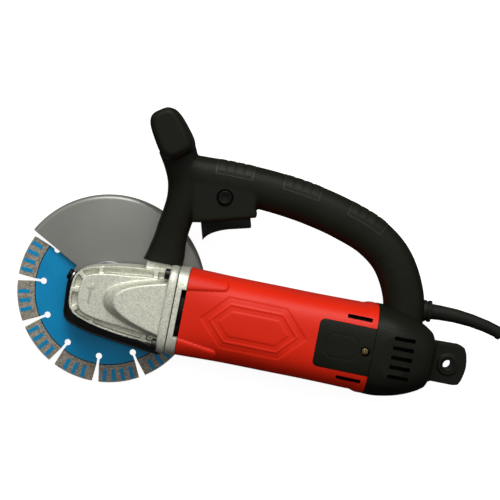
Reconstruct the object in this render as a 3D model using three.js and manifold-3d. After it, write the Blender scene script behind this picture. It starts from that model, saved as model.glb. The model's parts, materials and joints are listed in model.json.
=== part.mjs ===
// Two-handed disc cutter of the angle-grinder kind, with a 180 mm segmented diamond disc.
//
// Everything is drawn in millimetres in the machine's own frame: the origin is where the spindle
// axis crosses the motor axis, +X runs back along the motor, +Y points up the handle, and +Z is the
// side with the lock button. The last lines shift the whole machine so that the origin is under the
// middle of the box that it fills as it lies on its disc side.

import * as THREE from 'three';
import { mergeVertices } from 'three/addons/utils/BufferGeometryUtils.js';
import Module from 'manifold-3d';

const wasm = await Module();
wasm.setup();

// ---------------------------------------------------------------- driving dimensions

const GAP = 0.3;                 // clearance between pieces that touch
const WALL = 3;                  // moulded and cast walls
const FLOOR = -52;               // what the machine lies on, measured from the motor axis

const DISC_R = 90;
const DISC_MID = -46.6;          // middle of the disc's thickness
const CORE_T = 2;
const SEGMENT_T = 2.8;
const SEGMENT_INNER_R = 72.7;
const SLOTS = 12;
const SLOT_TURN = 2.3;           // degrees
const SLOT_HOLE_R = 64.8;

const GUARD_R = 95;
const GUARD_TOP = -40.8;
const SHEET_T = 1.5;
const GUARD_TURN = -28.5;        // degrees, where the half-round guard starts

const NECK_R = 26;               // round neck that the guard turns on
const PLATE_TOP = -27.3;
const NECK_END = -39.4;

const CASE_BOTTOM = -27;
const PLATEAU = 25;
const FLANGE_X = 58;
const FOOT_Y = 41.8;             // underside of the handle's post
const PLATE_X = 67;              // front face of the intermediate plate
const HOUSING_X = 76.5;
const SEAM_X = 257.5;            // housing meets rear cap
const CAP_END_X = 316.3;
const LUG_END_X = 351;
const EYE = [333, -0.8];         // middle of the hole in the tail lug
const COVER_SCREW_X = 250.3;

const CROWN_TEETH = 31;
const PINION_TEETH = 9;
const CROWN_R = 22;              // pitch radius at the big end
const TOOTH_FACE = 8;

const CORD_R = 4.5;
const COIL_MID_R = 50;
const COIL_AT = [517.5, 57.7];

const ALUMINIUM = { color: 0xb5b6ad, metalness: 0.8, roughness: 0.55 };
const STEEL = { color: 0x8d8f92, metalness: 0.95, roughness: 0.35 };
const BLACK_STEEL = { color: 0x1b1b1c, metalness: 0.6, roughness: 0.45 };
const GUARD_GREY = { color: 0x7d7e7a, metalness: 0.5, roughness: 0.4 };
const DISC_BLUE = { color: 0x1881b8, metalness: 0.3, roughness: 0.4 };
const RED = { color: 0xcf3322, metalness: 0, roughness: 0.4 };
const BLACK = { color: 0x22231f, metalness: 0, roughness: 0.55 };
const RUBBER = { color: 0x1c1c1a, metalness: 0, roughness: 0.7 };
const COPPER = { color: 0xb87333, metalness: 0.9, roughness: 0.4 };
const CARBON = { color: 0x2b2b2d, metalness: 0.1, roughness: 0.8 };

// ---------------------------------------------------------------- geometry helpers

const rad = THREE.MathUtils.degToRad;

/** A closed three.js geometry as a manifold solid, with its faces turned outward. */
function solid(geometry) {
  const bare = geometry.clone();
  bare.deleteAttribute('normal');
  bare.deleteAttribute('uv');
  const welded = mergeVertices(bare, 1e-4);
  const spots = welded.attributes.position;
  const at = (i) => new THREE.Vector3().fromBufferAttribute(spots, i);
  const corners = welded.index.array;
  let faces = [];
  for (let i = 0; i < corners.length; i += 3) {
    const face = corners.slice(i, i + 3);
    if (new Set(face).size === 3) faces.push(face);
  }
  const volume = faces.reduce((sum, [a, b, c]) => sum + at(a).dot(at(b).cross(at(c))), 0);
  if (volume < 0) faces = faces.map(([a, b, c]) => [a, c, b]);
  return new wasm.Manifold(new wasm.Mesh({
    numProp: 3,
    vertProperties: new Float32Array(spots.array),
    triVerts: new Uint32Array(faces.flatMap((face) => [...face])),
  }));
}

/** A manifold solid back as a three.js geometry. */
function geometryOf(manifold) {
  const { vertProperties, triVerts } = manifold.getMesh();
  const geometry = new THREE.BufferGeometry();
  geometry.setAttribute('position', new THREE.BufferAttribute(new Float32Array(vertProperties), 3));
  geometry.setIndex([...triVerts]);
  geometry.computeVertexNormals();
  return geometry;
}

const join = (first, ...rest) => rest.reduce((sum, next) => sum.add(next), first);
const cut = (first, ...rest) => rest.reduce((left, next) => left.subtract(next), first);

/** A box from one corner to the other. */
function block(x0, x1, y0, y1, z0, z1) {
  const box = new THREE.BoxGeometry(x1 - x0, y1 - y0, z1 - z0);
  return solid(box.translate((x0 + x1) / 2, (y0 + y1) / 2, (z0 + z1) / 2));
}

/** A round solid about Z at (x, y) from a closed [radius, height] outline. */
function turnedGeometry(outline, steps = 24) {
  const closed = outline[0][0] === 0 ? outline : [...outline, outline[0]];
  const profile = closed.map(([r, z]) => new THREE.Vector2(r, z));
  return new THREE.LatheGeometry(profile, steps).rotateX(Math.PI / 2);
}

function turned(outline, steps = 24, x = 0, y = 0) {
  return solid(turnedGeometry(outline, steps).translate(x, y, 0));
}

/** The same about the motor axis: heights become places along X. */
function turnedX(outline, steps = 24) {
  return solid(turnedGeometry(outline, steps).rotateY(Math.PI / 2));
}

const rod = (r, z0, z1, x = 0, y = 0, steps = 16) =>
  turned([[0, z0], [r, z0], [r, z1], [0, z1]], steps, x, y);

const ring = (inner, outer, z0, z1, steps = 24) =>
  turned([[inner, z0], [outer, z0], [outer, z1], [inner, z1]], steps);

const rodX = (r, x0, x1, y = 0, z = 0, steps = 16) =>
  solid(turnedGeometry([[0, x0], [r, x0], [r, x1], [0, x1]], steps)
    .rotateY(Math.PI / 2).translate(0, y, z));

const ringX = (inner, outer, x0, x1, steps = 24) =>
  turnedX([[inner, x0], [outer, x0], [outer, x1], [inner, x1]], steps);

/** An outline in the XY plane, thickened from z0 to z1, with its edges bevelled by `bevel`. */
function prism(points, z0, z1, bevel = 0) {
  const outline = Array.isArray(points)
    ? new THREE.Shape(points.map(([x, y]) => new THREE.Vector2(x, y))) : points;
  const geometry = new THREE.ExtrudeGeometry(outline, {
    depth: z1 - z0 - 2 * bevel,
    bevelEnabled: bevel > 0,
    bevelThickness: bevel,
    bevelSize: bevel,
    bevelOffset: -bevel,
    bevelSegments: 1,
    curveSegments: 6,
  });
  return solid(geometry.translate(0, 0, z0 + bevel));
}

/** A rounded rectangle as a shape. */
function roundedRectangle(x0, x1, y0, y1, r) {
  const shape = new THREE.Shape();
  shape.moveTo(x0 + r, y0);
  shape.absarc(x1 - r, y0 + r, r, -Math.PI / 2, 0);
  shape.absarc(x1 - r, y1 - r, r, 0, Math.PI / 2);
  shape.absarc(x0 + r, y1 - r, r, Math.PI / 2, Math.PI);
  shape.absarc(x0 + r, y0 + r, r, Math.PI, 1.5 * Math.PI);
  return shape;
}

/** Points round a superellipse: power 2 is an ellipse, and a higher power is boxier. */
function oval(a, b, power, count) {
  const bend = (value) => Math.sign(value) * Math.abs(value) ** (2 / power);
  return Array.from({ length: count }, (_, i) => {
    const angle = (2 * Math.PI * i) / count;
    return [a * bend(Math.cos(angle)), b * bend(Math.sin(angle))];
  });
}

/** A closed body through rings of points, with a flat fan on each end. */
function loft(rings) {
  const count = rings[0].length;
  const middle = (points) => points.reduce((sum, p) => sum.clone().add(p)).divideScalar(points.length);
  const points = [...rings.flat(), middle(rings[0]), middle(rings.at(-1))];
  const faces = [];
  rings.slice(1).forEach((_, k) => {
    for (let i = 0; i < count; i += 1) {
      const j = (i + 1) % count;
      const [a, b, c, d] = [k * count + i, k * count + j, (k + 1) * count + j, (k + 1) * count + i];
      faces.push([a, b, c], [a, c, d]);
    }
  });
  const last = (rings.length - 1) * count;
  for (let i = 0; i < count; i += 1) {
    const j = (i + 1) % count;
    faces.push([j, i, points.length - 2], [last + i, last + j, points.length - 1]);
  }
  const geometry = new THREE.BufferGeometry().setFromPoints(points);
  geometry.setIndex(faces.flat());
  return solid(geometry);
}

/** A body along X through [x, half height, half depth, power] sections, grown by `grow`. */
function barrel(sections, grow = 0, count = 24) {
  return loft(sections.map(([x, a, b, power]) =>
    oval(a + grow, b + grow, power, count).map(([y, z]) => new THREE.Vector3(x, y, z))));
}

/** A body along a path in the XY plane; `size(t)` gives its half width and half thickness. */
function limb(points, size, grow = 0, steps = 14, count = 14, power = 2.4) {
  const path = new THREE.CatmullRomCurve3(points.map(([x, y]) => new THREE.Vector3(x, y, 0)));
  return loft(Array.from({ length: steps + 1 }, (_, k) => {
    const t = k / steps;
    const at = path.getPointAt(t);
    const along = path.getTangentAt(t);
    const [width, depth] = size(t);
    return oval(width + grow, depth + grow, power, count).map(([u, v]) =>
      new THREE.Vector3(at.x - along.y * u, at.y + along.x * u, v));
  }));
}

/** A number read off a list of values spread evenly over 0 to 1. */
function spread(values, t) {
  const place = t * (values.length - 1);
  const low = Math.min(Math.floor(place), values.length - 2);
  return values[low] + (values[low + 1] - values[low]) * (place - low);
}

/** A round tube along a list of 3-D points, as a plain closed body. */
function hose(points, radius, steps, sides = 8) {
  const path = new THREE.CatmullRomCurve3(points.map((p) => new THREE.Vector3(...p)));
  const section = new THREE.Shape(Array.from({ length: sides }, (_, i) =>
    new THREE.Vector2(radius * Math.cos((2 * Math.PI * i) / sides),
      radius * Math.sin((2 * Math.PI * i) / sides))));
  return solid(new THREE.ExtrudeGeometry(section, { steps, bevelEnabled: false, extrudePath: path }));
}

/** Adds a named mesh to a group. */
function add(group, name, manifold, look) {
  const mesh = new THREE.Mesh(geometryOf(manifold), new THREE.MeshStandardMaterial(look));
  mesh.name = name;
  group.add(mesh);
  return mesh;
}

// ---------------------------------------------------------------- gear head

const head = new THREE.Group();
const screwPlaces = [[33.5, 31.5], [-33.5, 31.5], [-33.5, -31.5], [33.5, -31.5]];
const footBoltPlaces = [41, 52];
const LOCK_TURN = 163;           // degrees, where the spindle lock stands round the nose
const LOCK_Z = -20;

/** A round solid along the spindle lock's own radius, from a [radius, distance] outline. */
const alongLock = (outline) => solid(turnedGeometry(outline, 20)
  .rotateY(Math.PI / 2).translate(0, 0, LOCK_Z).rotateZ(rad(LOCK_TURN)));

/** A round solid along +Y at x, from a [radius, height] outline. */
const upright = (outline, x) =>
  solid(turnedGeometry(outline, 12).rotateX(-Math.PI / 2).translate(x, 0, 0));

/** Outline of the gear case from above, nose on the left, moved inward by `inset`. */
function caseOutline(inset, backX) {
  const side = [[-33, 0], [-32, 10], [-28.5, 17.8], [-22, 23], [-8, 27.9], [12, 31.8], [36, 34]];
  const near = side.map(([x, y]) => {
    const reach = Math.hypot(x - 25, y);
    return [x + (25 - x) * (inset / reach), y - (y * inset) / reach];
  });
  const upper = [...near, [backX, 35.6 - inset]];
  const lower = upper.slice(1).reverse().map(([x, y]) => [x, -y]);
  return [...upper, ...lower];
}

/** The raised arrow-shaped hump over the pinion, between two half widths. */
function hump(tipX, halfWidth, power, z0, z1, grow) {
  const ringAt = (z, extra) => {
    const points = [];
    for (let i = 0; i <= 6; i += 1) {
      const s = i / 6;
      points.push([tipX - extra + (FLANGE_X + 4 - tipX + extra) * s ** power, (halfWidth + extra) * s]);
    }
    return [...points.slice(1).reverse().map(([x, y]) => [x, -y]), ...points]
      .map(([x, y]) => new THREE.Vector3(x, y, z));
  };
  return loft([ringAt(z0, grow), ringAt(z1, 0)]);
}

const RIM = 2;                   // raised edge round the top of the gear case
const CHANNEL = 6.5;             // sunk way between that edge and the plateau

function gearCase() {
  const base = prism(caseOutline(0, FLANGE_X + 1), CASE_BOTTOM, 20);
  const channel = cut(prism(caseOutline(RIM, FLANGE_X + 1), 15, 30),
    prism(caseOutline(RIM + CHANNEL, FLANGE_X + 1), 10, 30));
  const plateau = prism(caseOutline(RIM + CHANNEL, FLANGE_X + 1), 10, PLATEAU);
  const ribPlaces = [[-26, 15, 128], [-8, 24, 100], [47, 31.5, 92], [-30, 3, 180],
    [-27, -12, 205], [-10, -23.5, 250], [45, -31.5, 268]];
  const ribRoom = prism(caseOutline(0.5, FLANGE_X), 10, 30);
  const ribs = ribPlaces.map(([x, y, turn]) => {
    const bar = new THREE.BoxGeometry(8.4, 3.4, 6);
    return solid(bar.rotateZ(rad(turn)).translate(x, y, 16.4)).intersect(ribRoom);
  });
  const flange = barrel([[FLANGE_X, 41.5, 40, 5], [PLATE_X - GAP, 41.5, 40, 5]], 0, 20);
  const boss = prism([[34, 30], [34, FOOT_Y - GAP], [57, FOOT_Y - GAP], [59, 30]], -13, 13, 1.5);
  const outer = join(cut(base, channel), plateau, ...ribs,
    hump(3, 29, 1.9, PLATEAU - 6, 36, 8), flange, boss);

  const gearBore = turned([[0, CASE_BOTTOM - 1], [25, CASE_BOTTOM - 1], [25, -2], [11, 9], [0, 9]]);
  const upperSeat = rod(7.8, 4, 15, 0, 0, 24);
  const shaftBore = turnedX([[0, 9], [9, 9], [10.5, 14], [14, 26], [14, 50], [17.3, 50],
    [17.3, PLATE_X + 1], [0, PLATE_X + 1]]);
  const screwHoles = screwPlaces.map(([y, z]) => rodX(2.8, FLANGE_X - 1, PLATE_X + 1, y, z, 8));
  const screwPockets = screwPlaces.map(([y, z]) => rodX(5.6, 44, FLANGE_X + 1.2, y, z, 10));
  const lockBore = alongLock([[0, 15], [3.4, 15], [3.4, 29.5], [6.6, 29.5], [6.6, 50], [0, 50]]);
  const boltHoles = footBoltPlaces.map((x) => upright([[0, 28], [2.4, 28], [2.4, 45], [0, 45]], x));
  return cut(outer, gearBore, upperSeat, shaftBore, ...screwHoles, ...screwPockets, lockBore, ...boltHoles);
}


/** Plate between gear case and housing, which holds the front armature bearing. */
function intermediatePlate() {
  const plate = barrel([[PLATE_X, 41.5, 40, 5], [HOUSING_X - GAP, 41.5, 40, 4.5]], 0, 20);
  const bearingSeat = rodX(13.2, 60, HOUSING_X + 1, 0, 0, 24);
  const fanRoom = rodX(34, PLATE_X + 5, HOUSING_X + 1, 0, 0, 24);
  const windows = [1, -1].map((side) =>
    block(72, HOUSING_X + 1, -22.8, 22.8, side > 0 ? 30 : -45, side > 0 ? 45 : -30));
  const screwHoles = screwPlaces.map(([y, z]) => rodX(2.8, PLATE_X - 1, HOUSING_X + 1, y, z, 8));
  return cut(plate, bearingSeat, fanRoom, ...windows, ...screwHoles);
}

/** Black plate under the gear case, with the neck for the guard and the seat of the lower bearing. */
function basePlate() {
  const outline = [[-40.3, 5], [-39, -26], [-37.6, -31], [-34.5, -34.8], [-30, -36.6],
    [-12.9, -41.7], [13, -45.5], [39, -48], [60, -50.2], [62, -49], [62, -42.2], [57.6, -42.2],
    [57.6, 32], [40, 31.5], [8, 29], [-9, 25.5], [-22, 21], [-29, 15.5], [-33.5, 10.5],
    [-38, 9.6], [-40.3, 8]];
  const plate = prism(outline, PLATE_TOP - 4.6, PLATE_TOP);
  const neck = ring(10, NECK_R, NECK_END, PLATE_TOP - 4);
  const trayPoints = outline.map(([x, y]) => {
    const reach = Math.hypot(x - 12, y + 6);
    return [x + (12 - x) * (2.6 / reach), y - (y + 6) * (2.6 / reach)];
  });
  const tray = cut(prism(trayPoints, PLATE_TOP - 1.6, PLATE_TOP + 1),
    prism(caseOutline(-1.2, FLANGE_X), -40, 0));
  const seat = turned([[0, -37], [16.3, -37], [16.3, PLATE_TOP + 1], [0, PLATE_TOP + 1]]);
  const screwRoom = screwPlaces.slice(2).map(([y, z]) => rodX(5.6, 50, 58, y, z, 10));
  return cut(join(plate, neck), tray, seat, rod(10, NECK_END - 1, -30), ...screwRoom);
}

add(head, 'gear_case', gearCase(), ALUMINIUM);
add(head, 'intermediate_plate', intermediatePlate(), ALUMINIUM);
add(head, 'base_plate', basePlate(), BLACK_STEEL);
screwPlaces.forEach(([y, z], i) => {
  const screw = join(rodX(2.4, FLANGE_X - 1, HOUSING_X + 12, y, z, 8),
    rodX(4.8, FLANGE_X - 3.4, FLANGE_X + 0.9, y, z, 12));
  const socket = rodX(2.2, FLANGE_X - 4, FLANGE_X - 1.4, y, z, 6);
  add(head, `flange_screw_${i + 1}`, cut(screw, socket), BLACK_STEEL);
});

/** A plunger along the radius that drops into a notch of the crown gear's hub. */
const lockPlunger = alongLock([[0, 20.2], [2.9, 20.2], [2.9, 33.6], [5.5, 33.6], [5.5, 40.8],
  [4.7, 41.8], [0, 41.8]]);
add(head, 'spindle_lock_button', lockPlunger, BLACK);

// ---------------------------------------------------------------- spindle and gears

const spindle = new THREE.Group();
const PINION_R = (CROWN_R * PINION_TEETH) / CROWN_TEETH;
const CROWN_CONE = Math.atan2(CROWN_R, PINION_R);

/** A straight bevel gear about Z whose cone points to the origin; teeth thin enough to run free. */
function bevelTeeth(teeth, cone, backDepth, phase) {
  const distance = Math.hypot(CROWN_R, PINION_R);
  const module = (2 * CROWN_R) / CROWN_TEETH;
  const [tip, root] = [0.7 * module, -1.25 * module];
  const pitchAngle = (2 * Math.PI) / teeth;
  const corners = [[-0.25, root], [-0.09, tip], [0.09, tip], [0.25, root]];
  const toothRing = (scale) => Array.from({ length: teeth }, (_, k) => corners.map(([part, height]) => {
    const angle = (k + part) * pitchAngle + phase;
    const r = (distance * Math.sin(cone) + height * Math.cos(cone)) * scale;
    const z = (distance * Math.cos(cone) - height * Math.sin(cone)) * scale;
    return new THREE.Vector3(r * Math.cos(angle), r * Math.sin(angle), z);
  })).flat();
  const big = toothRing(1);
  const backRadius = distance * Math.sin(cone) + root * Math.cos(cone);
  const backPlace = Math.max(...big.map((p) => p.z)) + backDepth;
  const back = big.map((p) => {
    const angle = Math.atan2(p.y, p.x);
    return new THREE.Vector3(backRadius * Math.cos(angle), backRadius * Math.sin(angle), backPlace);
  });
  return loft([back, big, toothRing(1 - TOOTH_FACE / distance)]);
}

function crownGear() {
  const teeth = bevelTeeth(CROWN_TEETH, CROWN_CONE, 4, 0);
  const turnedOver = solid(geometryOf(teeth).rotateX(Math.PI));
  const hub = rod(19, -25, -11, 0, 0, 24);
  const bore = rod(6.8, -26, 0);
  const eye = rod(13.2, -7.5, 0, 0, 0, 24);
  const notches = [0, 90, 180, 270].map((turn) =>
    solid(new THREE.BoxGeometry(6, 7, 7).translate(17.4, 0, LOCK_Z).rotateZ(rad(LOCK_TURN + turn))));
  return cut(join(turnedOver, hub), bore, eye, ...notches);
}

const spindleShape = turned([[0, 14], [4, 14], [4, -6.8], [6.5, -6.8], [6.5, -25.3],
  [7.5, -25.3], [7.5, -37.2], [9, -37.2], [9, -39.6], [7, -39.6], [7, -51.5], [0, -51.5]], 16);
const innerFlange = turned([[7.3, -39.9], [13, -39.9], [21, -42.6], [21, -45.3],
  [10.7, -45.3], [10.7, -46.9], [7.3, -46.9]]);

/** The nut that clamps the disc, with four blind holes for a pin spanner. */
function flangeNut() {
  const pinCircle = 13.5;
  const pinHoles = [45, 135, 225, 315].map((turn) =>
    rod(2.5, -53, -49.2, pinCircle * Math.cos(rad(turn)), pinCircle * Math.sin(rad(turn)), 8));
  const nut = turned([[7.3, -47.2], [10.5, -47.2], [10.5, -47.9], [20, -47.9], [20, -51],
    [19.3, -51.7], [7.3, -51.7]]);
  return cut(nut, ...pinHoles);
}

function cuttingDisc() {
  const core = ring(11.1, SEGMENT_INNER_R + 1, DISC_MID - CORE_T / 2, DISC_MID + CORE_T / 2, 36);
  const rim = ring(SEGMENT_INNER_R, DISC_R, DISC_MID - SEGMENT_T / 2, DISC_MID + SEGMENT_T / 2, 36);
  const keyhole = join(
    rod(3, DISC_MID - 3, DISC_MID + 3, SLOT_HOLE_R, 0, 10),
    prism([[SLOT_HOLE_R, -1.1], [SEGMENT_INNER_R, -1.2], [DISC_R + 2, -3.4], [DISC_R + 2, 3.4],
      [SEGMENT_INNER_R, 1.2], [SLOT_HOLE_R, 1.1]], DISC_MID - 3, DISC_MID + 3),
  );
  const cutter = geometryOf(keyhole);
  const keyholes = Array.from({ length: SLOTS }, (_, k) =>
    solid(cutter.clone().rotateZ(rad(SLOT_TURN + (k * 360) / SLOTS))));
  return cut(join(core, rim), ...keyholes);
}

add(spindle, 'spindle', spindleShape, STEEL);
add(spindle, 'crown_gear', crownGear(), STEEL);
add(spindle, 'inner_flange', innerFlange, STEEL);
add(spindle, 'cutting_disc', cuttingDisc(), DISC_BLUE);
add(spindle, 'flange_nut', flangeNut(), STEEL);
add(head, 'spindle_bearing_lower', ring(7.8, 15.9, -36.7, -27.8), STEEL);
add(head, 'spindle_bearing_upper', ring(4.3, 7.4, 9.4, 14.6, 20), STEEL);

// ---------------------------------------------------------------- guard

const guardGroup = new THREE.Group();

function guard() {
  const shell = turned([[24.5, GUARD_TOP - SHEET_T], [GUARD_R - 5, GUARD_TOP - SHEET_T],
    [GUARD_R - SHEET_T, GUARD_TOP - 5], [GUARD_R - SHEET_T, FLOOR], [GUARD_R, FLOOR],
    [GUARD_R, GUARD_TOP - 4.6], [GUARD_R - 1.4, GUARD_TOP - 1.4], [GUARD_R - 4.6, GUARD_TOP],
    [24.5, GUARD_TOP]], 56);
  const half = solid(new THREE.BoxGeometry(240, 120, 40)
    .translate(0, 60, -45).rotateZ(rad(GUARD_TURN)));
  const collar = ring(NECK_R + GAP, NECK_R + 1.8, GUARD_TOP - SHEET_T, -32.6, 28);
  const centre = ring(24.5, 40, GUARD_TOP - SHEET_T, GUARD_TOP, 28);
  return join(shell.intersect(half), centre, collar);
}

const BAND_R = NECK_R + 1.8 + GAP;

/** A round solid through the band's two ears, from a [radius, place along -Y] outline. */
const acrossEars = (outline) =>
  solid(turnedGeometry(outline, 12).rotateX(Math.PI / 2).translate(BAND_R + 7, 0, -37));

function clampBand() {
  const band = ring(BAND_R, BAND_R + 1.8, -40, -34, 28);
  const ears = block(BAND_R + 0.4, BAND_R + 12, -5.2, 5.2, -40, -34);
  const slit = block(BAND_R - 4, BAND_R + 14, -1.6, 1.6, -42, -32);
  const hole = acrossEars([[0, -9], [2.5, -9], [2.5, 9], [0, 9]]);
  return cut(join(band, ears), slit, hole);
}

const clampScrew = acrossEars([[0, -8], [2.2, -8], [2.2, 5.5], [3.5, 5.5], [3.5, 9], [0, 9]]);
add(guardGroup, 'guard', guard(), GUARD_GREY);
add(guardGroup, 'guard_clamp_band', clampBand(), STEEL);
add(guardGroup, 'guard_clamp_screw', clampScrew, BLACK_STEEL);

// ---------------------------------------------------------------- motor

const motor = new THREE.Group();

function armatureCore() {
  const core = ringX(8.3, 22.5, 118, 168);
  const slots = Array.from({ length: 12 }, (_, k) =>
    solid(new THREE.BoxGeometry(60, 3, 9).translate(143, 0, 20).rotateX(rad(k * 30))));
  return cut(core, ...slots);
}

function coolingFan() {
  const disc = ringX(5.3, 32, 84, 86);
  const hub = ringX(5.3, 11, 84, 98);
  const blades = Array.from({ length: 7 }, (_, k) =>
    solid(new THREE.BoxGeometry(9, 1.8, 20).translate(90, 0, 22).rotateX(rad((k * 360) / 7))));
  return join(disc, hub, ...blades);
}

/** The pinion, turned half a tooth so that it meets a gap of the crown gear. */
function pinionGear() {
  const teeth = bevelTeeth(PINION_TEETH, Math.PI / 2 - CROWN_CONE, 1.5, Math.PI / PINION_TEETH);
  const turnedOver = solid(geometryOf(teeth).rotateY(Math.PI / 2));
  return cut(turnedOver, rodX(2.9, 18.7, 40, 0, 0, 12));
}

function commutator() {
  const drum = ringX(5.3, 13, 206, 234);
  const grooves = Array.from({ length: 12 }, (_, k) =>
    solid(new THREE.BoxGeometry(23, 0.8, 1.6).translate(223, 0, 12.8).rotateX(rad(k * 30))));
  return cut(drum, ...grooves);
}

const armatureShaft = turnedX([[0, 19], [2.6, 19], [2.6, 25.5], [6, 25.5], [6, 60], [6.3, 60],
  [6.3, 76], [5, 76], [5, 105], [8, 105], [8, 178], [5, 178], [5, 262], [0, 262]], 12);

add(motor, 'armature_shaft', armatureShaft, STEEL);
add(motor, 'armature_core', armatureCore(), STEEL);
add(motor, 'commutator', commutator(), COPPER);
add(motor, 'cooling_fan', coolingFan(), BLACK);
add(motor, 'pinion_gear', pinionGear(), STEEL);

const stator = new THREE.Group();
add(stator, 'front_bearing', ringX(6.6, 12.9, 61, 71), STEEL);
add(stator, 'rear_bearing', ringX(5.3, 10.7, 248, 256, 20), STEEL);

function statorCore() {
  const stack = ringX(23.4, 36.4, 116, 170, 28);
  const windingRoom = [12, -31].map((low) => block(110, 180, low, low + 19, -16, 16));
  return cut(stack, ...windingRoom);
}

/** A saddle of wire on one pole of the stator, above the axis or below it. */
function fieldWinding(above) {
  const arch = ringX(24.4, 30.6, 108, 178, 28);
  const sector = above ? block(100, 190, 12.4, 40, -15.6, 15.6)
    : block(100, 190, -40, -12.4, -15.6, 15.6);
  const pole = block(116, 170, -40, 40, -6, 6);
  return cut(arch.intersect(sector), pole);
}
add(stator, 'stator_core', statorCore(), STEEL);
add(stator, 'field_winding_upper', fieldWinding(true), COPPER);
add(stator, 'field_winding_lower', fieldWinding(false), COPPER);
const baffle = turnedX([[24, 101], [36.4, 101], [36.4, 103], [27, 103], [24, 105]]);
add(stator, 'air_baffle', baffle, BLACK);

// ---------------------------------------------------------------- motor housing and brushes

const housingSections = [[HOUSING_X, 41.6, 40, 3.6], [116, 41, 40.8, 2.8],
  [204, 40.6, 45.4, 3.2], [240, 41, 48, 3.4], [SEAM_X - GAP, 42.7, 49.5, 3.2]];
const housingOuter = barrel(housingSections);
const COVER = { x0: 204.5, x1: SEAM_X - GAP, half: 22.4, r: 5 };
const brushX = 222;

/** The plan of a brush cover, open at the rear end where it meets the cap. */
function coverPlan(grow) {
  return roundedRectangle(COVER.x0 - grow, COVER.x1 + 12, -COVER.half - grow, COVER.half + grow,
    COVER.r + grow);
}

function motorHousing() {
  const inner = barrel([[HOUSING_X - 1, 38.6, 37, 3.6], [116, 38, 37.8, 2.8], [204, 37.6, 42.4, 3.2],
    [240, 38, 45, 3.4], [SEAM_X, 39.7, 46.5, 3.2]], 0, 20);
  const statorRibs = [0, 90, 180, 270].map((turn) =>
    solid(new THREE.BoxGeometry(58, 3, 6).translate(143, 0, 39.6).rotateX(rad(turn))));
  const rearWeb = join(ringX(11, 15, 247, 255, 20),
    block(247, 252, -2, 2, 13, 46), block(247, 252, -2, 2, -46, -13),
    block(247, 252, 13, 40, -3, 3), block(247, 252, -40, -13, -3, 3));
  const lobes = screwPlaces.map(([y, z]) =>
    loft([[HOUSING_X, 6.4], [108, 5.8], [113.5, 3]].map(([x, r]) =>
      oval(r, r, 2, 10).map(([u, v]) => new THREE.Vector3(x, y + u, z + v)))));
  const screwRoom = screwPlaces.map(([y, z]) => rodX(2.7, HOUSING_X - 2, HOUSING_X + 13, y, z, 8));
  const covers = [1, -1].map((side) =>
    prism(coverPlan(GAP), side > 0 ? 38 : -60, side > 0 ? 60 : -38));
  const slots = [29.2, -29.2].flatMap((y) => [1, -1].map((face) =>
    block(228.5, 252, y - 1.9, y + 1.9, face > 0 ? 35 : -60, face > 0 ? 60 : -35)));
  const shell = join(cut(housingOuter, inner), ...statorRibs, rearWeb, ...lobes);
  return cut(shell, ...screwRoom, ...covers, ...slots);
}

/** The black panel over a brush, cut from the housing's own surface. */
function brushCover(side) {
  const inner = barrel([[204, 37.6, 42.4, 3.2], [240, 38, 45, 3.4], [258, 39.7, 46.5, 3.2]], 0, 20);
  const plan = prism(coverPlan(0), side > 0 ? 30 : -60, side > 0 ? 60 : -30);
  const screwHole = rod(2.4, -60, 60, COVER_SCREW_X, 0, 12);
  const headRoom = side > 0 ? rod(4.6, 47, 60, COVER_SCREW_X, 0, 18)
    : rod(4.6, -60, -47, COVER_SCREW_X, 0, 18);
  return cut(cut(housingOuter, inner).intersect(plan), screwHole, headRoom);
}

function coverScrew(side) {
  const outline = [[0, 38], [2, 38], [2, 47.3], [3.9, 47.3], [3.9, 48.6], [2.6, 49.4], [0, 49.4]];
  const body = turned(outline, 12);
  const cross = join(block(-2.2, 2.2, -0.5, 0.5, 48.4, 51), block(-0.5, 0.5, -2.2, 2.2, 48.4, 51));
  const screw = geometryOf(cut(body, cross));
  return solid((side > 0 ? screw : screw.rotateX(Math.PI)).translate(COVER_SCREW_X, 0, 0));
}

add(stator, 'motor_housing', motorHousing(), RED);
['near', 'far'].forEach((word, i) => {
  const side = i === 0 ? 1 : -1;
  const [z0, z1] = side > 0 ? [15.5, 40.5] : [-40.5, -15.5];
  const [b0, b1] = side > 0 ? [13.4, 33] : [-33, -13.4];
  const holder = cut(block(brushX - 6.6, brushX + 6.6, -4.6, 4.6, z0, z1),
    block(brushX - 4.4, brushX + 4.4, -2.9, 2.9, z0 - 1, z1 + 1));
  add(stator, `brush_holder_${word}`, holder, COPPER);
  add(stator, `carbon_brush_${word}`, block(brushX - 4, brushX + 4, -2.5, 2.5, b0, b1), CARBON);
  add(stator, `brush_cover_${word}`, brushCover(side), BLACK);
  add(stator, `cover_screw_${word}`, coverScrew(side), BLACK_STEEL);
});

// ---------------------------------------------------------------- rear cap and tail lug

const capSections = [[SEAM_X, 42.9, 49.8, 3.2], [266, 42.8, 51.6, 3.2], [278, 41, 53, 3.2],
  [291, 37.6, 51.4, 3.2], [302, 33.2, 47.6, 3.1], [310, 28.8, 42.4, 3], [CAP_END_X, 21, 34, 3]];

function rearCap() {
  const flats = block(200, 400, -60, 60, FLOOR, -FLOOR);
  const inner = barrel([[SEAM_X - 1, 39.9, 46.8, 3.2], [276, 38.4, 49.2, 3.2], [300, 31.2, 45.2, 3.1],
    [CAP_END_X - WALL, 22, 33, 3]], 0, 20);
  const louvres = [1, -1].flatMap((face) => [18, 9, 0, -9, -18].map((y) =>
    block(274.6, 294.4, y - 1.9, y + 1.9, face > 0 ? 35 : -60, face > 0 ? 60 : -35)));
  const lugHoles = [11, -11].map((y) => rodX(2.3, CAP_END_X - 8, CAP_END_X + 2, y, 0, 12));
  const cableHole = solid(new THREE.CylinderGeometry(5.5, 5.5, 20, 16).translate(281, 34, 0));
  return cut(barrel(capSections).intersect(flats), inner, ...louvres, ...lugHoles, cableHole);
}

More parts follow.
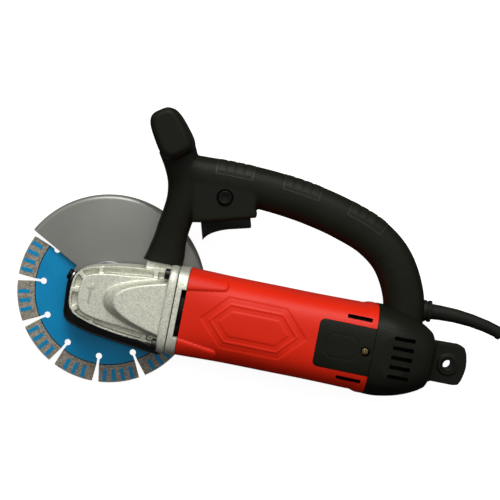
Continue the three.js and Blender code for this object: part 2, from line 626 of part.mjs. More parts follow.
/** Flat eye at the tail, with a round end and a raised ring about its hole. */
function tailLug() {
  const outline = new THREE.Shape();
  outline.moveTo(CAP_END_X + GAP, -19);
  outline.lineTo(341, -19);
  outline.lineTo(346.4, -17.6);
  outline.lineTo(348.8, -12);
  outline.quadraticCurveTo(LUG_END_X + 2, 0, 348.8, 12);
  outline.lineTo(346.4, 17.8);
  outline.lineTo(341, 19.4);
  outline.lineTo(CAP_END_X + GAP, 18.4);
  const plate = prism(outline, -11, 11, 1.5);
  const collar = rod(8.8, -12, 12, ...EYE, 20);
  const screws = [11, -11].map((y) => rodX(2.1, CAP_END_X - 7, CAP_END_X + 2, y, 0, 12));
  return cut(join(plate, collar, ...screws), rod(6.3, -14, 14, ...EYE, 20));
}
add(stator, 'rear_cap', rearCap(), BLACK);
add(stator, 'tail_lug', tailLug(), BLACK);
const bush = turned([[4.7, -12.6], [6, -12.6], [6, 12.6], [4.7, 12.6]], 16, ...EYE);
add(stator, 'lug_bush', bush, BLACK_STEEL);

// ---------------------------------------------------------------- loop handle

const handle = new THREE.Group();
const archPath = [[58, 128.4], [96, 129.2], [135, 128], [176, 123], [212, 114.4],
  [240, 103.6], [261, 87.6], [274, 68], [281, 50], [283.5, 30]];
const postPath = [[46.5, 34], [48.6, 41], [50.6, 60], [51.7, 74], [54, 90], [55.4, 106],
  [53.4, 122], [46.5, 140], [40, 152]];
const BAR = { x: 33.6, y: 163.4, turn: 125, length: 23.4, width: 15.6, taper: 0.07, end: 52 };
const boxOutline = [[60, 126], [64, 104], [68.4, 84.6], [76, 86.1], [127.4, 100.9],
  [126.6, 112], [118, 126]];
const TRIGGER_AT = boxOutline[3];
const TRIGGER_TURN = Math.atan2(14.8, 51.4);
const LOCK_BUTTON = [94.6, 113.9];
const CORD_EXIT_Y = 44.8;

const archSize = (t) => [19.6, spread([18.5, 18.5, 18.6, 18.8, 19.4, 20.5], t)];
const postSize = (t) => [spread([18.8, 18, 15.6, 15, 15.4, 16.4, 16, 16.6, 17.6], t),
  spread([19, 17, 17, 18, 19, 19], t)];

/** The grip bar across the top of the post, narrower towards its top, with softened ends. */
function gripBar(grow, count) {
  const end = BAR.end + Math.min(grow, 0);
  const places = [[-end, -3.6], [-end + 1.4, -1.5], [-end + 4.5, 0], [0, 0.8],
    [end - 4.5, 0], [end - 1.4, -1.5], [end, -3.6]];
  return loft(places.map(([z, inset]) =>
    oval(BAR.length + inset + grow, BAR.width + inset + grow, 3.3, count).map(([u, v]) => {
      const turn = rad(BAR.turn);
      const across = v * (1 - (BAR.taper * u) / BAR.width);
      return new THREE.Vector3(BAR.x + u * Math.cos(turn) - across * Math.sin(turn),
        BAR.y + u * Math.sin(turn) + across * Math.cos(turn), z);
    })));
}

/** The box below the grip that holds the switch. */
function switchBox(inset) {
  const [cx, cy] = [96, 108];
  const points = boxOutline.map(([x, y]) => {
    const reach = Math.hypot(x - cx, y - cy);
    return [x + ((cx - x) * inset) / reach, y + ((cy - y) * inset) / reach];
  });
  return prism(points, -19.4 + inset * 0.8, 19.4 - inset * 0.8, inset ? 0 : 2);
}

/** The whole handle as one body, its surface moved out by `grow`. */
function handleBody(grow, count = 14) {
  return join(limb(archPath, archSize, grow, count, count),
    limb(postPath, postSize, grow, count / 2, count, 2.6),
    gripBar(grow, count), switchBox(grow < 0 ? 3.6 : 0));
}

/** The trigger's outline, s along the box's lower face and h away from it. */
function triggerOutline() {
  const shape = new THREE.Shape();
  shape.moveTo(0.4, -8);
  shape.lineTo(0.6, 17.4);
  shape.quadraticCurveTo(6, 9.6, 26, 8.9);
  shape.lineTo(46, 9.4);
  shape.quadraticCurveTo(47.9, 9.4, 47.9, 7.6);
  shape.lineTo(47.9, -8);
  return shape;
}

/** Moves a solid from the trigger's own axes to its place under the switch box. */
function toTrigger(manifold) {
  return solid(geometryOf(manifold).rotateX(Math.PI).rotateZ(TRIGGER_TURN)
    .translate(...TRIGGER_AT, 0));
}

const handleScrewPlaces = [[52, 70], [52, 124], [166, 124.5], [268, 79]];

function handleShell(side) {
  const cavity = handleBody(-WALL, 10);
  const foot = block(20, 80, FOOT_Y, FOOT_Y + 4, -40, 40)
    .intersect(limb(postPath, postSize, 0, 7, 14, 2.6));
  const bosses = handleScrewPlaces.map(([x, y]) => rod(4.6, -18, 18, x, y, 8));
  const hollow = cut(handleBody(0), cut(cavity, foot, ...bosses));
  const belowFoot = block(0, 110, 20, FOOT_Y, -40, 40);
  const capRoom = barrel([[250, 42.9, 49.8, 3.2], ...capSections, [320, 21, 34, 3]], GAP);
  const triggerRoom = toTrigger(prism([[0, -16], [0, 24], [48.4, 24], [48.4, -16]], -9.6, 9.6));
  const screwRoom = handleScrewPlaces.flatMap(([x, y]) => [rod(2.2, -18, 12, x, y, 8),
    rod(4, -30, -12, x, y, 12)]);
  const buttonRoom = rod(6.9, 10, 30, ...LOCK_BUTTON, 20);
  const exitRoom = join(rodX(6.3, 290, 298, CORD_EXIT_Y, 0, 20),
    rodX(11, 297.6, 330, CORD_EXIT_Y, 0, 20));
  const footHoles = footBoltPlaces.map((x) => upright([[0, 38], [2.7, 38], [2.7, 48], [0, 48]], x));
  const half = side > 0 ? block(0, 360, 0, 240, GAP / 2, 80) : block(0, 360, 0, 240, -80, -GAP / 2);
  return cut(hollow, belowFoot, capRoom, triggerRoom, ...screwRoom, buttonRoom, exitRoom, ...footHoles)
    .intersect(half);
}
add(handle, 'handle_near_shell', handleShell(1), BLACK);
add(handle, 'handle_far_shell', handleShell(-1), BLACK);
handleScrewPlaces.forEach(([x, y], i) => {
  const screw = join(rod(1.9, -13, 10, x, y, 8), rod(3.6, -15.4, -12.3, x, y, 12));
  add(handle, `handle_screw_${i + 1}`, cut(screw, rod(1.4, -16, -14, x, y, 6)), BLACK_STEEL);
});
footBoltPlaces.forEach((x, i) => {
  const bolt = upright([[0, 29], [2.1, 29], [2.1, FOOT_Y + 4.3], [4.2, FOOT_Y + 4.3],
    [4.2, FOOT_Y + 8], [0, FOOT_Y + 8]], x);
  add(handle, `foot_bolt_${i + 1}`, bolt, BLACK_STEEL);
});
add(handle, 'trigger', toTrigger(prism(triggerOutline(), -9, 9, 1)), BLACK);
add(handle, 'switch_body', toTrigger(block(4, 44, -34, -15, -9.6, 9.6)), BLACK);
const buttonOutline = [[0, 13.6], [6.5, 13.6], [6.5, 20.6], [5.6, 21.4], [0, 21.4]];
add(handle, 'lock_button', turned(buttonOutline, 20, ...LOCK_BUTTON), BLACK);

// ---------------------------------------------------------------- strain relief, cord and plug

const mains = new THREE.Group();
const reliefPath = [[300.6, CORD_EXIT_Y], [309, 45.4], [322, 46], [336, 45.6], [348, 44.4],
  [359, 42.6], [368, 40.6], [376, 38.2]];

function strainRelief() {
  const path = new THREE.CatmullRomCurve3(reliefPath.map(([x, y]) => new THREE.Vector3(x, y, 0)));
  const radii = [[0, 10.4], [0.1, 10.4], [0.105, 7.4], [0.3, 6.9], [0.6, 6.2], [0.96, 5.8],
    [0.965, 6.5], [1, 6.5]];
  return loft(radii.map(([t, r]) => {
    const at = path.getPointAt(t);
    const along = path.getTangentAt(t);
    return oval(r, r, 2, 14).map(([u, v]) => new THREE.Vector3(at.x - along.y * u, at.y + along.x * u, v));
  }));
}

const LOW = FLOOR + CORD_R;
const cordRoute = [[377, 37.9, 0], [386.6, 35, -0.8], [396.1, 32.1, -3.2], [405.7, 29.3, -7.4],
  [415.3, 26.4, -13.9], [424.8, 23.5, -23.75], [434.4, 20.6, -33.6], [444, 17.7, -40.1],
  [453.6, 14.9, -44.3], [463.1, 12, -46.7], [472.7, 9.1, LOW], [487.1, 4.9, LOW],
  [501.5, 0.9, LOW]];
const tailRoute = [[567.5, 57.7, -29.5], [567.5, 78, -29.5], [567.5, 97, -29.5], [567.5, 106, -30.6],
  [567.5, 114, -34.7], [567.5, 122, -39.4], [567.5, 130.4, -40]];
const PLUG_AT = [567.5, 131, -40];
const COIL_HALF = 3 * CORD_R;

/** The space that the wound cord takes, as a plain ring, grown by `grow`. */
function coilRing(grow) {
  const [inner, outer] = [COIL_MID_R - COIL_HALF - grow, COIL_MID_R + COIL_HALF + grow];
  const [low, high] = [-grow, 2 * COIL_HALF + grow];
  return turned([[inner, low], [outer, low], [outer, high], [inner, high]], 36);
}

/** Two-pin moulded plug that lies flat, its pins along +Y. */
function plugBody() {
  const sections = [[0, 6.5, 6.5], [13, 8, 8], [19, 16.5, 11.5], [24, 18, 12], [38, 18, 12],
    [40, 17, 11]];
  return loft(sections.map(([y, a, b]) =>
    oval(a, b, 2.6, 16).map(([u, v]) => new THREE.Vector3(u, y, v))));
}

const coilRoom = solid(geometryOf(coilRing(GAP)).translate(...COIL_AT, FLOOR));
add(mains, 'strain_relief', strainRelief(), RUBBER);
add(mains, 'cord', cut(hose(cordRoute, CORD_R, 14), coilRoom), RUBBER);
add(mains, 'cord_tail', cut(hose(tailRoute, CORD_R, 8), coilRoom), RUBBER);
add(mains, 'cord_coil', coilRing(0), RUBBER).position.set(...COIL_AT, FLOOR);
add(mains, 'plug', plugBody(), BLACK).position.set(...PLUG_AT);
[1, -1].forEach((side, i) => {
  const pin = upright([[0, 40.3], [2.4, 40.3], [2.4, 58], [1.4, 59], [0, 59]], 0);
  add(mains, `plug_pin_${i + 1}`, pin, STEEL).position.set(PLUG_AT[0] + side * 9.5, PLUG_AT[1], PLUG_AT[2]);
});

// ---------------------------------------------------------------- whole machine

const body = [head, spindle, guardGroup, motor, stator, handle];
const box = new THREE.Box3();
body.forEach((group) => box.expandByObject(group));
const machine = new THREE.Group();
machine.add(...body, mains);
machine.position.set(-(box.min.x + box.max.x) / 2, -(box.min.y + box.max.y) / 2, -box.min.z);

export default machine;
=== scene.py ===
# %% [markdown]
# # A two-handed disc cutter
# This lesson dresses a finished mechanical model of a corded disc cutter with a 180 mm diamond disc.
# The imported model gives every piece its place, its size and the body that it moves with. Here each
# piece that is seen gets its true surface, its small shapes and its finish. Nothing is moved or resized.

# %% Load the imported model
import json
import math

import bmesh
import bpy
import numpy as np
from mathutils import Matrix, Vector


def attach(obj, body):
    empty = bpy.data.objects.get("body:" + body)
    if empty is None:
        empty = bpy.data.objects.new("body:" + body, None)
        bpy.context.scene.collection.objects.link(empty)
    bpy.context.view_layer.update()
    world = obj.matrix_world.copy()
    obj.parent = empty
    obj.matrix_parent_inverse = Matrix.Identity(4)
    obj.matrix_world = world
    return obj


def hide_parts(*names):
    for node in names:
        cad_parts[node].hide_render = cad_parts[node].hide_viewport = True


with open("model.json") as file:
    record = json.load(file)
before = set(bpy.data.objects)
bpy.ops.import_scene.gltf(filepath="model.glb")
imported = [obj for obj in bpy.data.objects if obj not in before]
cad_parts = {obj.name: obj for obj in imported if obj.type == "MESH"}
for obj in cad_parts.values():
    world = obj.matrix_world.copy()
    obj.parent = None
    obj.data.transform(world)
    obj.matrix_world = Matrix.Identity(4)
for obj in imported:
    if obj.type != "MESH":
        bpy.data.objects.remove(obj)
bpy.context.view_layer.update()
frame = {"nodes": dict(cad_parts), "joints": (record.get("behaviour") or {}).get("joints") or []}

# %% [markdown]
# A maker draws this machine from two axes: the origin is where the spindle crosses the motor shaft,
# X runs back along the motor, Y points up the handle and Z is the side away from the disc. All the
# shapes below are in those millimetres, and one function turns them into metres in the model's frame.

# %% The machine's own millimetres
MM = 0.001
ORIGIN = np.array(next(joint["pos_m"] for joint in frame["joints"] if joint["name"] == "spindle_spin"))
FLOOR = -ORIGIN[2] / MM


def placed(points):
    """Machine millimetres as metres in the model's frame."""
    return ORIGIN + MM * np.asarray(points, float)


print("the machine lies", round(-FLOOR, 1), "mm below the motor axis")

# %% [markdown]
# The camera comes first. It looks almost straight down on the machine as it lies on its disc side,
# from 1.6 m away with a long lens, so that the picture is nearly free of perspective.

# %% Camera
LOOK_AT = (127.504, 69.192, 0)
STAND_AT = (111.096, 151.306, 1597.807)
TILT, ROLL = math.radians(-3), math.radians(11.3)

camera = bpy.data.objects.new("camera", bpy.data.cameras.new("camera"))
bpy.context.scene.collection.objects.link(camera)
camera.location = placed(STAND_AT)
camera.rotation_euler = (TILT, 0, ROLL)
camera.data.sensor_width = 36
camera.data.lens = 120.8
bpy.context.scene.camera = camera
print("camera", round((camera.location - Vector(placed(LOOK_AT))).length, 3), "m from the machine")

# %% [markdown]
# ## Finishes
# Colours are written as sRGB hex, as a paint maker gives them, and one function turns them linear.
# One small function adds a shader node with its settings, its values and its links.

# %% Colour and node helpers
def colour(code):
    """An sRGB hex colour as linear RGBA."""
    channels = [int(code[i:i + 2], 16) / 255 for i in (1, 3, 5)]
    return (*[c / 12.92 if c <= 0.04045 else ((c + 0.055) / 1.055) ** 2.4 for c in channels], 1.0)


def add(material, kind, inputs=(), **settings):
    """Adds a node to a material. Each input is a value, or another node's output to link."""
    tree = material.node_tree
    node = tree.nodes.new(kind)
    for name, value in settings.items():
        setattr(node, name, value)
    for name, value in dict(inputs).items():
        if isinstance(value, bpy.types.NodeSocket):
            tree.links.new(value, node.inputs[name])
        else:
            node.inputs[name].default_value = value
    return node


def finish(name, **sockets):
    """A material with its Principled shader's plain values set."""
    material = bpy.data.materials.new(name)
    material.use_nodes = True
    shader = material.node_tree.nodes["Principled BSDF"]
    for socket, value in sockets.items():
        shader.inputs[socket.replace("_", " ")].default_value = value
    return material, shader


def size_of(millimetres):
    """The texture scale whose pattern repeats about every so many millimetres."""
    return 1 / (millimetres * MM)


def between(material, factor, low, high, a, b):
    """A colour ramp from a to b as the factor goes from low to high."""
    ramp = add(material, "ShaderNodeValToRGB", {"Fac": factor})
    ramp.color_ramp.elements[0].position = low
    ramp.color_ramp.elements[1].position = high
    ramp.color_ramp.elements[0].color = a
    ramp.color_ramp.elements[1].color = b
    return ramp.outputs["Color"]


def grey(value):
    return (value, value, value, 1)


# %% [markdown]
# Most of these surfaces share one plan: a broad, faint drift of colour, a drift of roughness, and a
# fine relief. Only the sizes and the strength change with how the surface was made.

# %% One plan for many finishes
def surface(name, code, other, drift_mm, grain_mm, relief_mm, rough, stretch=(1, 1, 1), **sockets):
    """Colour drifts from code to other, roughness between two values, and the grain gives relief."""
    material, shader = finish(name, **sockets)
    place = add(material, "ShaderNodeTexCoord").outputs["Object"]
    along = add(material, "ShaderNodeMapping", {"Vector": place, "Scale": stretch}).outputs["Vector"]
    drift = add(material, "ShaderNodeTexNoise",
                {"Vector": place, "Scale": size_of(drift_mm), "Detail": 4.0}).outputs["Fac"]
    grain = add(material, "ShaderNodeTexNoise",
                {"Vector": along, "Scale": size_of(grain_mm), "Detail": 3.0}).outputs["Fac"]
    tint = between(material, drift, 0.3, 0.7, colour(code), colour(other))
    gloss = between(material, grain, 0.3, 0.7, grey(rough[0]), grey(rough[1]))
    bump = add(material, "ShaderNodeBump",
               {"Height": grain, "Distance": relief_mm * MM, "Strength": 0.6})
    material.node_tree.links.new(tint, shader.inputs["Base Color"])
    material.node_tree.links.new(gloss, shader.inputs["Roughness"])
    material.node_tree.links.new(bump.outputs["Normal"], shader.inputs["Normal"])
    return material


# %% [markdown]
# Some surfaces need a second layer over that plan: the speckle of cast metal, or diamond grit. The
# layer's colour is mixed into whatever already feeds the base colour.

# %% Lay one colour over another
def layered(material, over, mode="MIX", share=1.0):
    tree = material.node_tree
    base = tree.nodes["Principled BSDF"].inputs["Base Color"]
    mix = add(material, "ShaderNodeMix", data_type="RGBA", blend_type=mode)
    ends = {socket.identifier: socket for socket in (*mix.inputs, *mix.outputs)}
    ends["Factor_Float"].default_value = share
    tree.links.new(base.links[0].from_socket, ends["A_Color"])
    tree.links.new(over, ends["B_Color"])
    tree.links.new(ends["Result_Color"], base)


# %% [markdown]
# The gear head is aluminium poured into a sand mould and then blasted with grit. The eye reads it by
# its dull, pitted grain and by the grey speckle that the sand leaves. The real grain is half a
# millimetre; it is drawn at 1 mm, because anything finer would blur away from this distance.

# %% Sand-cast aluminium
def sand_cast_aluminium():
    material = surface("sand_cast_aluminium", "#dedece", "#d6d6c6", 30, 1.0, 0.3, (0.42, 0.62),
                       Metallic=0.7)
    place = add(material, "ShaderNodeTexCoord").outputs["Object"]
    sand = add(material, "ShaderNodeTexVoronoi", {"Vector": place, "Scale": size_of(1.0)})
    tone = add(material, "ShaderNodeSeparateColor", {"Color": sand.outputs["Color"]}).outputs["Red"]
    layered(material, between(material, tone, 0.0, 0.8, grey(0.7), grey(1.0)), "MULTIPLY")
    return material


cast = sand_cast_aluminium()

# %% [markdown]
# The moulded parts are glass-filled nylon. Its skin is etched into the mould, about a third of a
# millimetre from bump to bump, and it breaks the gloss into a soft satin. It is drawn twice as coarse,
# so that it shows. The red barrel is smoother and glossier than the black handle. The raised grip pads
# are painted a little paler, and their thin frames paler and glossier still: a painted highlight for the
# light on their raised edges. The trigger and buttons are a plainer, darker black.

# %% Moulded nylon, red and black
red_nylon = surface("red_moulded_nylon", "#cc2209", "#c31e07", 60, 0.7, 0.04, (0.38, 0.48),
                    Specular_IOR_Level=0.16)
black_nylon = surface("black_moulded_nylon", "#15160e", "#11120b", 45, 0.6, 0.10, (0.42, 0.54),
                      Specular_IOR_Level=0.1)
# Painted highlight: the raised grip pads are coloured a little paler than the handle.
pad_highlight_nylon = surface("grip_pad_painted_highlight_nylon", "#181911", "#13140d", 8, 0.6, 0.10, (0.44, 0.56),
                    Specular_IOR_Level=0.14)
# Painted highlight: the pads' thin frames are paler and glossier, for the light that catches their edges.
frame_highlight_nylon = surface("frame_painted_highlight_nylon", "#24251e", "#1b1c15", 6, 0.6, 0.10, (0.36, 0.5),
                      Specular_IOR_Level=0.2)
plain_black = surface("plain_black_nylon", "#0b0b08", "#080806", 30, 0.8, 0.03, (0.34, 0.42),
                      Specular_IOR_Level=0.1)
rubber = surface("cable_rubber", "#171812", "#12130e", 25, 0.5, 0.05, (0.5, 0.62),
                 Specular_IOR_Level=0.12)
print("moulded finishes", red_nylon.name, black_nylon.name, plain_black.name, rubber.name)

# %% [markdown]
# The guard is pressed steel with a satin grey powder coat, which keeps a very faint orange peel of
# about a millimetre. The plate under the gear head has a gloss black enamel, and screws are blacked
# steel; the two small screws of the brush covers are yellow with zinc plate. Turned and ground steel
# keeps fine rings or streaks, drawn here as grain that is stretched along the cut.

# %% Painted, blacked, plated and bright metal
powder_grey = surface("grey_powder_coat", "#7f807a", "#777872", 50, 1.2, 0.015, (0.28, 0.34),
                      Metallic=0.35)
enamel = surface("black_enamel", "#060607", "#050505", 20, 2.0, 0.02, (0.08, 0.14),
                 Specular_IOR_Level=0.35)
blacked = surface("blacked_steel", "#1c1c1d", "#121213", 14, 0.8, 0.05, (0.26, 0.42), Metallic=0.6)
bright = surface("ground_steel", "#a3a5a8", "#8f9194", 12, 0.5, 0.03, (0.22, 0.36), (1, 1, 8),
                 Metallic=1.0)
laminated = surface("laminated_steel", "#7f8184", "#6d6f72", 10, 0.6, 0.10, (0.36, 0.5), (6, 1, 1),
                    Metallic=1.0)
brass_plate = surface("yellow_zinc_plate", "#8d7c5a", "#6f6044", 3, 0.4, 0.03, (0.24, 0.36),
                      Metallic=1.0)
copper = surface("enamelled_copper", "#a8612c", "#8c4a20", 6, 0.8, 0.25, (0.28, 0.4), (1, 6, 6),
                 Metallic=0.9)
carbon = surface("pressed_carbon", "#2d2d2f", "#232325", 4, 0.3, 0.05, (0.6, 0.8))

# %% [markdown]
# The disc's steel core has a thin, even blue lacquer. Its rim is sintered metal full of diamond grit: a
# dusty brown grey, peppered with light and dark grains of about a millimetre.

# %% Lacquered core and diamond segments
lacquer = surface("blue_lacquer", "#0488bc", "#047bab", 35, 1.2, 0.01, (0.28, 0.36), Metallic=0.15,
                  Specular_IOR_Level=0.3)


def diamond_matrix():
    material = surface("diamond_matrix", "#8f8779", "#7d766a", 9, 1.1, 0.30, (0.55, 0.8), Metallic=0.2)
    place = add(material, "ShaderNodeTexCoord").outputs["Object"]
    cells = add(material, "ShaderNodeTexVoronoi", {"Vector": place, "Scale": size_of(1.3)})
    pick = add(material, "ShaderNodeSeparateColor", {"Color": cells.outputs["Color"]}).outputs["Red"]
    grit = between(material, pick, 0.15, 0.9, colour("#5b554a"), colour("#aba596"))
    layered(material, grit, share=0.55)
    return material


matrix = diamond_matrix()

# %% [markdown]
# ## The lead
# The mains lead is about 2.5 m of 9 mm rubber cable. It leaves the strain relief, bows down to the
# floor and runs out behind the machine, where the rest is stored in a neat round coil of three layers.
# The coil's turns are worked out by a loop: each turn keeps one radius, and steps over to the next in
# a short arc.

# %% The lead's route and its coil
CORD_R = 4.5
LOW = FLOOR + CORD_R
COIL_AT = (517.5, 57.7)
route_out = [(377, 37.9, 0), (386.6, 35, -0.8), (396.1, 32.1, -3.2), (405.7, 29.3, -7.4),
             (415.3, 26.4, -13.9), (424.8, 23.5, -23.75), (434.4, 20.6, -33.6), (444, 17.7, -40.1),
             (453.6, 14.9, -44.3), (463.1, 12, -46.7), (472.7, 9.1, LOW), (487.1, 4.9, LOW)]
route_plug = [(567.5, 66, -29.5), (567.5, 78, -29.5), (567.5, 97, -29.5), (567.5, 106, -30.6),
              (567.5, 114, -34.7), (567.5, 122, -39.4), (567.5, 130.4, -40)]
TURN_STEPS = 28
ENTRY_ANGLE = -105.7
lanes = [(59, LOW), (50, LOW), (41, LOW), (41, LOW + 9), (50, LOW + 9), (59, LOW + 9), (59, LOW + 18),
         (50, LOW + 18)]


def coil_points(last_angle):
    """Points of the coil from the entry angle on; the lane changes in the last quarter of each turn."""
    points = []
    steps = int((last_angle - ENTRY_ANGLE) / 360 * TURN_STEPS)
    for i in range(steps + 1):
        angle = ENTRY_ANGLE + (last_angle - ENTRY_ANGLE) * i / steps
        turn = (angle - ENTRY_ANGLE) / 360
        lane = min(int(turn), len(lanes) - 2)
        ease = min(max((turn - lane - 0.72) / 0.28, 0), 1)
        ease = ease * ease * (3 - 2 * ease)
        radius, height = [a + (b - a) * ease for a, b in zip(lanes[lane], lanes[lane + 1])]
        spot = math.radians(angle)
        points.append((COIL_AT[0] + radius * math.cos(spot), COIL_AT[1] + radius * math.sin(spot),
                       height))
    return points


def run_length(points):
    return sum(math.dist(a, b) for a, b in zip(points, points[1:]))


route = route_out + coil_points(360 * 7) + route_plug
print("lead", round(run_length(route)), "mm along its points, in", len(route), "points")

# %% [markdown]
# A NURBS curve through those points would cut their corners, so the spline is a poly line of many
# smoothed points.

# %% Lay the lead
def smoothed(points, per_gap=5):
    """Catmull-Rom points through the given ones, with a few between each pair."""
    spots = np.array([points[0], *points, points[-1]], float)
    spots[0] = 2 * spots[1] - spots[2]
    spots[-1] = 2 * spots[-2] - spots[-3]
    fine = []
    for before, a, b, after in zip(spots, spots[1:], spots[2:], spots[3:]):
        for u in np.arange(per_gap) / per_gap:
            fine.append(0.5 * (2 * a + (b - before) * u + (2 * before - 5 * a + 4 * b - after) * u * u
                               + (3 * a - before - 3 * b + after) * u ** 3))
    return [*fine, spots[-2]]


lead_points = smoothed(route)
curve = bpy.data.curves.new("mains_lead", "CURVE")
curve.dimensions = "3D"
curve.bevel_depth = CORD_R * MM
curve.bevel_resolution = 4
curve.use_fill_caps = True
spline = curve.splines.new("POLY")
spline.points.add(len(lead_points) - 1)
for point, spot in zip(spline.points, placed(lead_points)):
    point.co = (*spot, 1)
lead = bpy.data.objects.new("mains_lead", curve)
bpy.context.scene.collection.objects.link(lead)
curve.materials.append(rubber)
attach(lead, "machine")
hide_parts("cord", "cord_coil", "cord_tail")
print("lead is", round(run_length(lead_points) * MM, 3), "m long")

# %% [markdown]
# ## Shapes
# A form is a pair: points in machine millimetres, and faces. A few builders make the forms that this
# machine needs: lofts, plates, turned shapes and rings. Then one call turns forms into a finished piece.

# %% Outlines and forms
def oval(a, b, power, count):
    """Evenly spaced points round a superellipse; power 2 is an ellipse, and more is boxier."""
    angles = np.linspace(0, 2 * math.pi, 1441)
    cos, sin = np.cos(angles), np.sin(angles)
    curve_points = np.column_stack([a * np.sign(cos) * np.abs(cos) ** (2 / power),
                                    b * np.sign(sin) * np.abs(sin) ** (2 / power)])
    walked = np.concatenate([[0], np.cumsum(np.linalg.norm(np.diff(curve_points, axis=0), axis=1))])
    marks = np.linspace(0, walked[-1], count, endpoint=False)
    return np.column_stack([np.interp(marks, walked, curve_points[:, k]) for k in (0, 1)])


def through(stops, place):
    """A smooth curve through rows of (place, value, ...): the values at one place."""
    stops = np.array(stops, float)
    places = stops[:, 0]
    slopes = np.gradient(stops[:, 1:], places, axis=0)
    i = int(np.clip(np.searchsorted(places, place) - 1, 0, len(places) - 2))
    span = places[i + 1] - places[i]
    u = (place - places[i]) / span
    return ((1 + 2 * u) * (1 - u) ** 2 * stops[i, 1:] + u * (1 - u) ** 2 * span * slopes[i]
            + u * u * (3 - 2 * u) * stops[i + 1, 1:] + u * u * (u - 1) * span * slopes[i + 1])


def lofted(rings, capped=True, looped=False):
    """A skin over rings of points, with an n-gon on each end."""
    count = len(rings[0])
    faces = []
    last = len(rings) if looped else len(rings) - 1
    for k in range(last):
        here, there = k * count, ((k + 1) % len(rings)) * count
        faces += [(here + i, here + (i + 1) % count, there + (i + 1) % count, there + i)
                  for i in range(count)]
    if capped and not looped:
        faces += [list(range(count)), list(range((len(rings) - 1) * count, len(rings) * count))]
    return np.concatenate([np.asarray(r, float) for r in rings]), faces


def plate(outline, z0, z1):
    """An outline in the XY plane, given a thickness."""
    flat = np.asarray(outline, float)
    return lofted([np.column_stack([flat, np.full(len(flat), z)]) for z in (z0, z1)])


def rim(outer, inner, z0, z1):
    """A wall between two outlines of as many points."""
    rings = [np.column_stack([np.asarray(line, float), np.full(len(line), z)])
             for line, z in ((outer, z0), (outer, z1), (inner, z1), (inner, z0))]
    return lofted(rings, looped=True)


def box_form(x0, x1, y0, y1, z0, z1):
    return plate([(x0, y0), (x1, y0), (x1, y1), (x0, y1)], z0, z1)


def turned(profile, steps=64, centre=(0, 0), along="Z"):
    """A profile of (radius, height) turned about an axis; it is closed by n-gons or on itself."""
    closed = profile[0][0] > 0 and profile[-1][0] > 0 and len(profile) > 2
    angles = np.arange(steps) * 2 * math.pi / steps
    rings = []
    for r, h in profile:
        r = max(r, 0.001)
        ring = np.column_stack([r * np.cos(angles), r * np.sin(angles), np.full(steps, float(h))])
        if along == "X":
            ring = ring[:, [2, 0, 1]] + (0, *centre)
        elif along == "Y":
            ring = ring[:, [1, 2, 0]] + (centre[0], 0, centre[1])
        else:
            ring = ring + (*centre, 0)
        rings.append(ring)
    return lofted(rings, looped=closed)


def flipped(form):
    """The same form on the far side of the machine."""
    return np.asarray(form[0]) * (1, 1, -1), form[1]


# %% [markdown]
# A finished piece is made in steps that a modeller would use by hand: join the forms, fuse them by a
# voxel remesh where the real part is one casting or moulding, relax the surface so that inner corners
# become fillets, cut the openings with booleans, bevel the crisp edges, and shade it smooth.

# %% From forms to a piece
def mesh_of(name, forms):
    points, faces = [], []
    for form_points, form_faces in forms:
        faces += [[len(points) + i for i in face] for face in form_faces]
        points += list(placed(form_points))
    mesh = bpy.data.meshes.new(name)
    mesh.from_pydata(points, [], faces)
    shape = bmesh.new()
    shape.from_mesh(mesh)
    bmesh.ops.remove_doubles(shape, verts=shape.verts, dist=1e-6)
    bmesh.ops.recalc_face_normals(shape, faces=shape.faces)
    shape.to_mesh(mesh)
    shape.free()
    return mesh


def scene_object(name, forms):
    thing = bpy.data.objects.new(name, mesh_of(name, forms))
    bpy.context.scene.collection.objects.link(thing)
    return thing


def settle(thing):
    """Applies the modifiers of an object to its mesh."""
    graph = bpy.context.evaluated_depsgraph_get()
    old = thing.data
    thing.data = bpy.data.meshes.new_from_object(thing.evaluated_get(graph))
    thing.modifiers.clear()
    bpy.data.meshes.remove(old)


def fused(thing, voxel, relax):
    """One skin round everything, with its inner corners relaxed into fillets."""
    remesh = thing.modifiers.new("fuse", "REMESH")
    remesh.mode = "VOXEL"
    remesh.voxel_size = voxel * MM
    soften = thing.modifiers.new("relax", "SMOOTH")
    soften.factor = 0.5
    soften.iterations = relax
    settle(thing)


def carved(thing, forms, how="DIFFERENCE"):
    """A boolean with a tool made from forms."""
    tool = scene_object("carving_tool", forms)
    carve = thing.modifiers.new("carve", "BOOLEAN")
    carve.operation = how
    carve.object = tool
    carve.solver = "EXACT"
    settle(thing)
    bpy.data.objects.remove(tool)


def bevelled(thing, width, limit=32, segments=2):
    edge = thing.modifiers.new("bevel", "BEVEL")
    edge.width = width * MM
    edge.segments = segments
    edge.limit_method = "ANGLE"
    edge.angle_limit = math.radians(limit)
    edge.use_clamp_overlap = True
    settle(thing)


def finished(thing, material, body, replaces=(), sharp=30):
    """Gives a piece its finish and its body, and hides the model's nodes that it stands for."""
    thing.data.materials.clear()
    thing.data.materials.append(material)
    thing.data.shade_smooth()
    thing.data.set_sharp_from_angle(angle=math.radians(sharp))
    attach(thing, body)
    if replaces:
        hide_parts(*replaces)
    print(thing.name, len(thing.data.polygons), "faces")
    return thing


# %% [markdown]
# ## The gear head
# The gear case is one casting: a rounded nose with a thin rim, a channel inside the rim that is
# bridged by short ribs, a plateau, and over the pinion a raised hump like an arch seen from above. A
# square flange closes it at the back. It is fused from simple solids, which gives the soft inner
# corners of a casting, and only then are the screw pockets cut.

# %% Gear case
FLANGE_X, PLATE_X, HOUSING_X = 58, 67, 76.5
LOCK_TURN, LOCK_Z = math.radians(163), -20
screw_places = [(33.5, 31.5), (-33.5, 31.5), (-33.5, -31.5), (33.5, -31.5)]
case_side = [(-31.6, 0), (-31.5, 6), (-31, 11.2), (-29.2, 16.2), (-25.4, 20.8), (-19.6, 23.8),
             (-11, 26.6), (2, 29.8), (15, 32), (26, 33.3), (40, 34.2)]


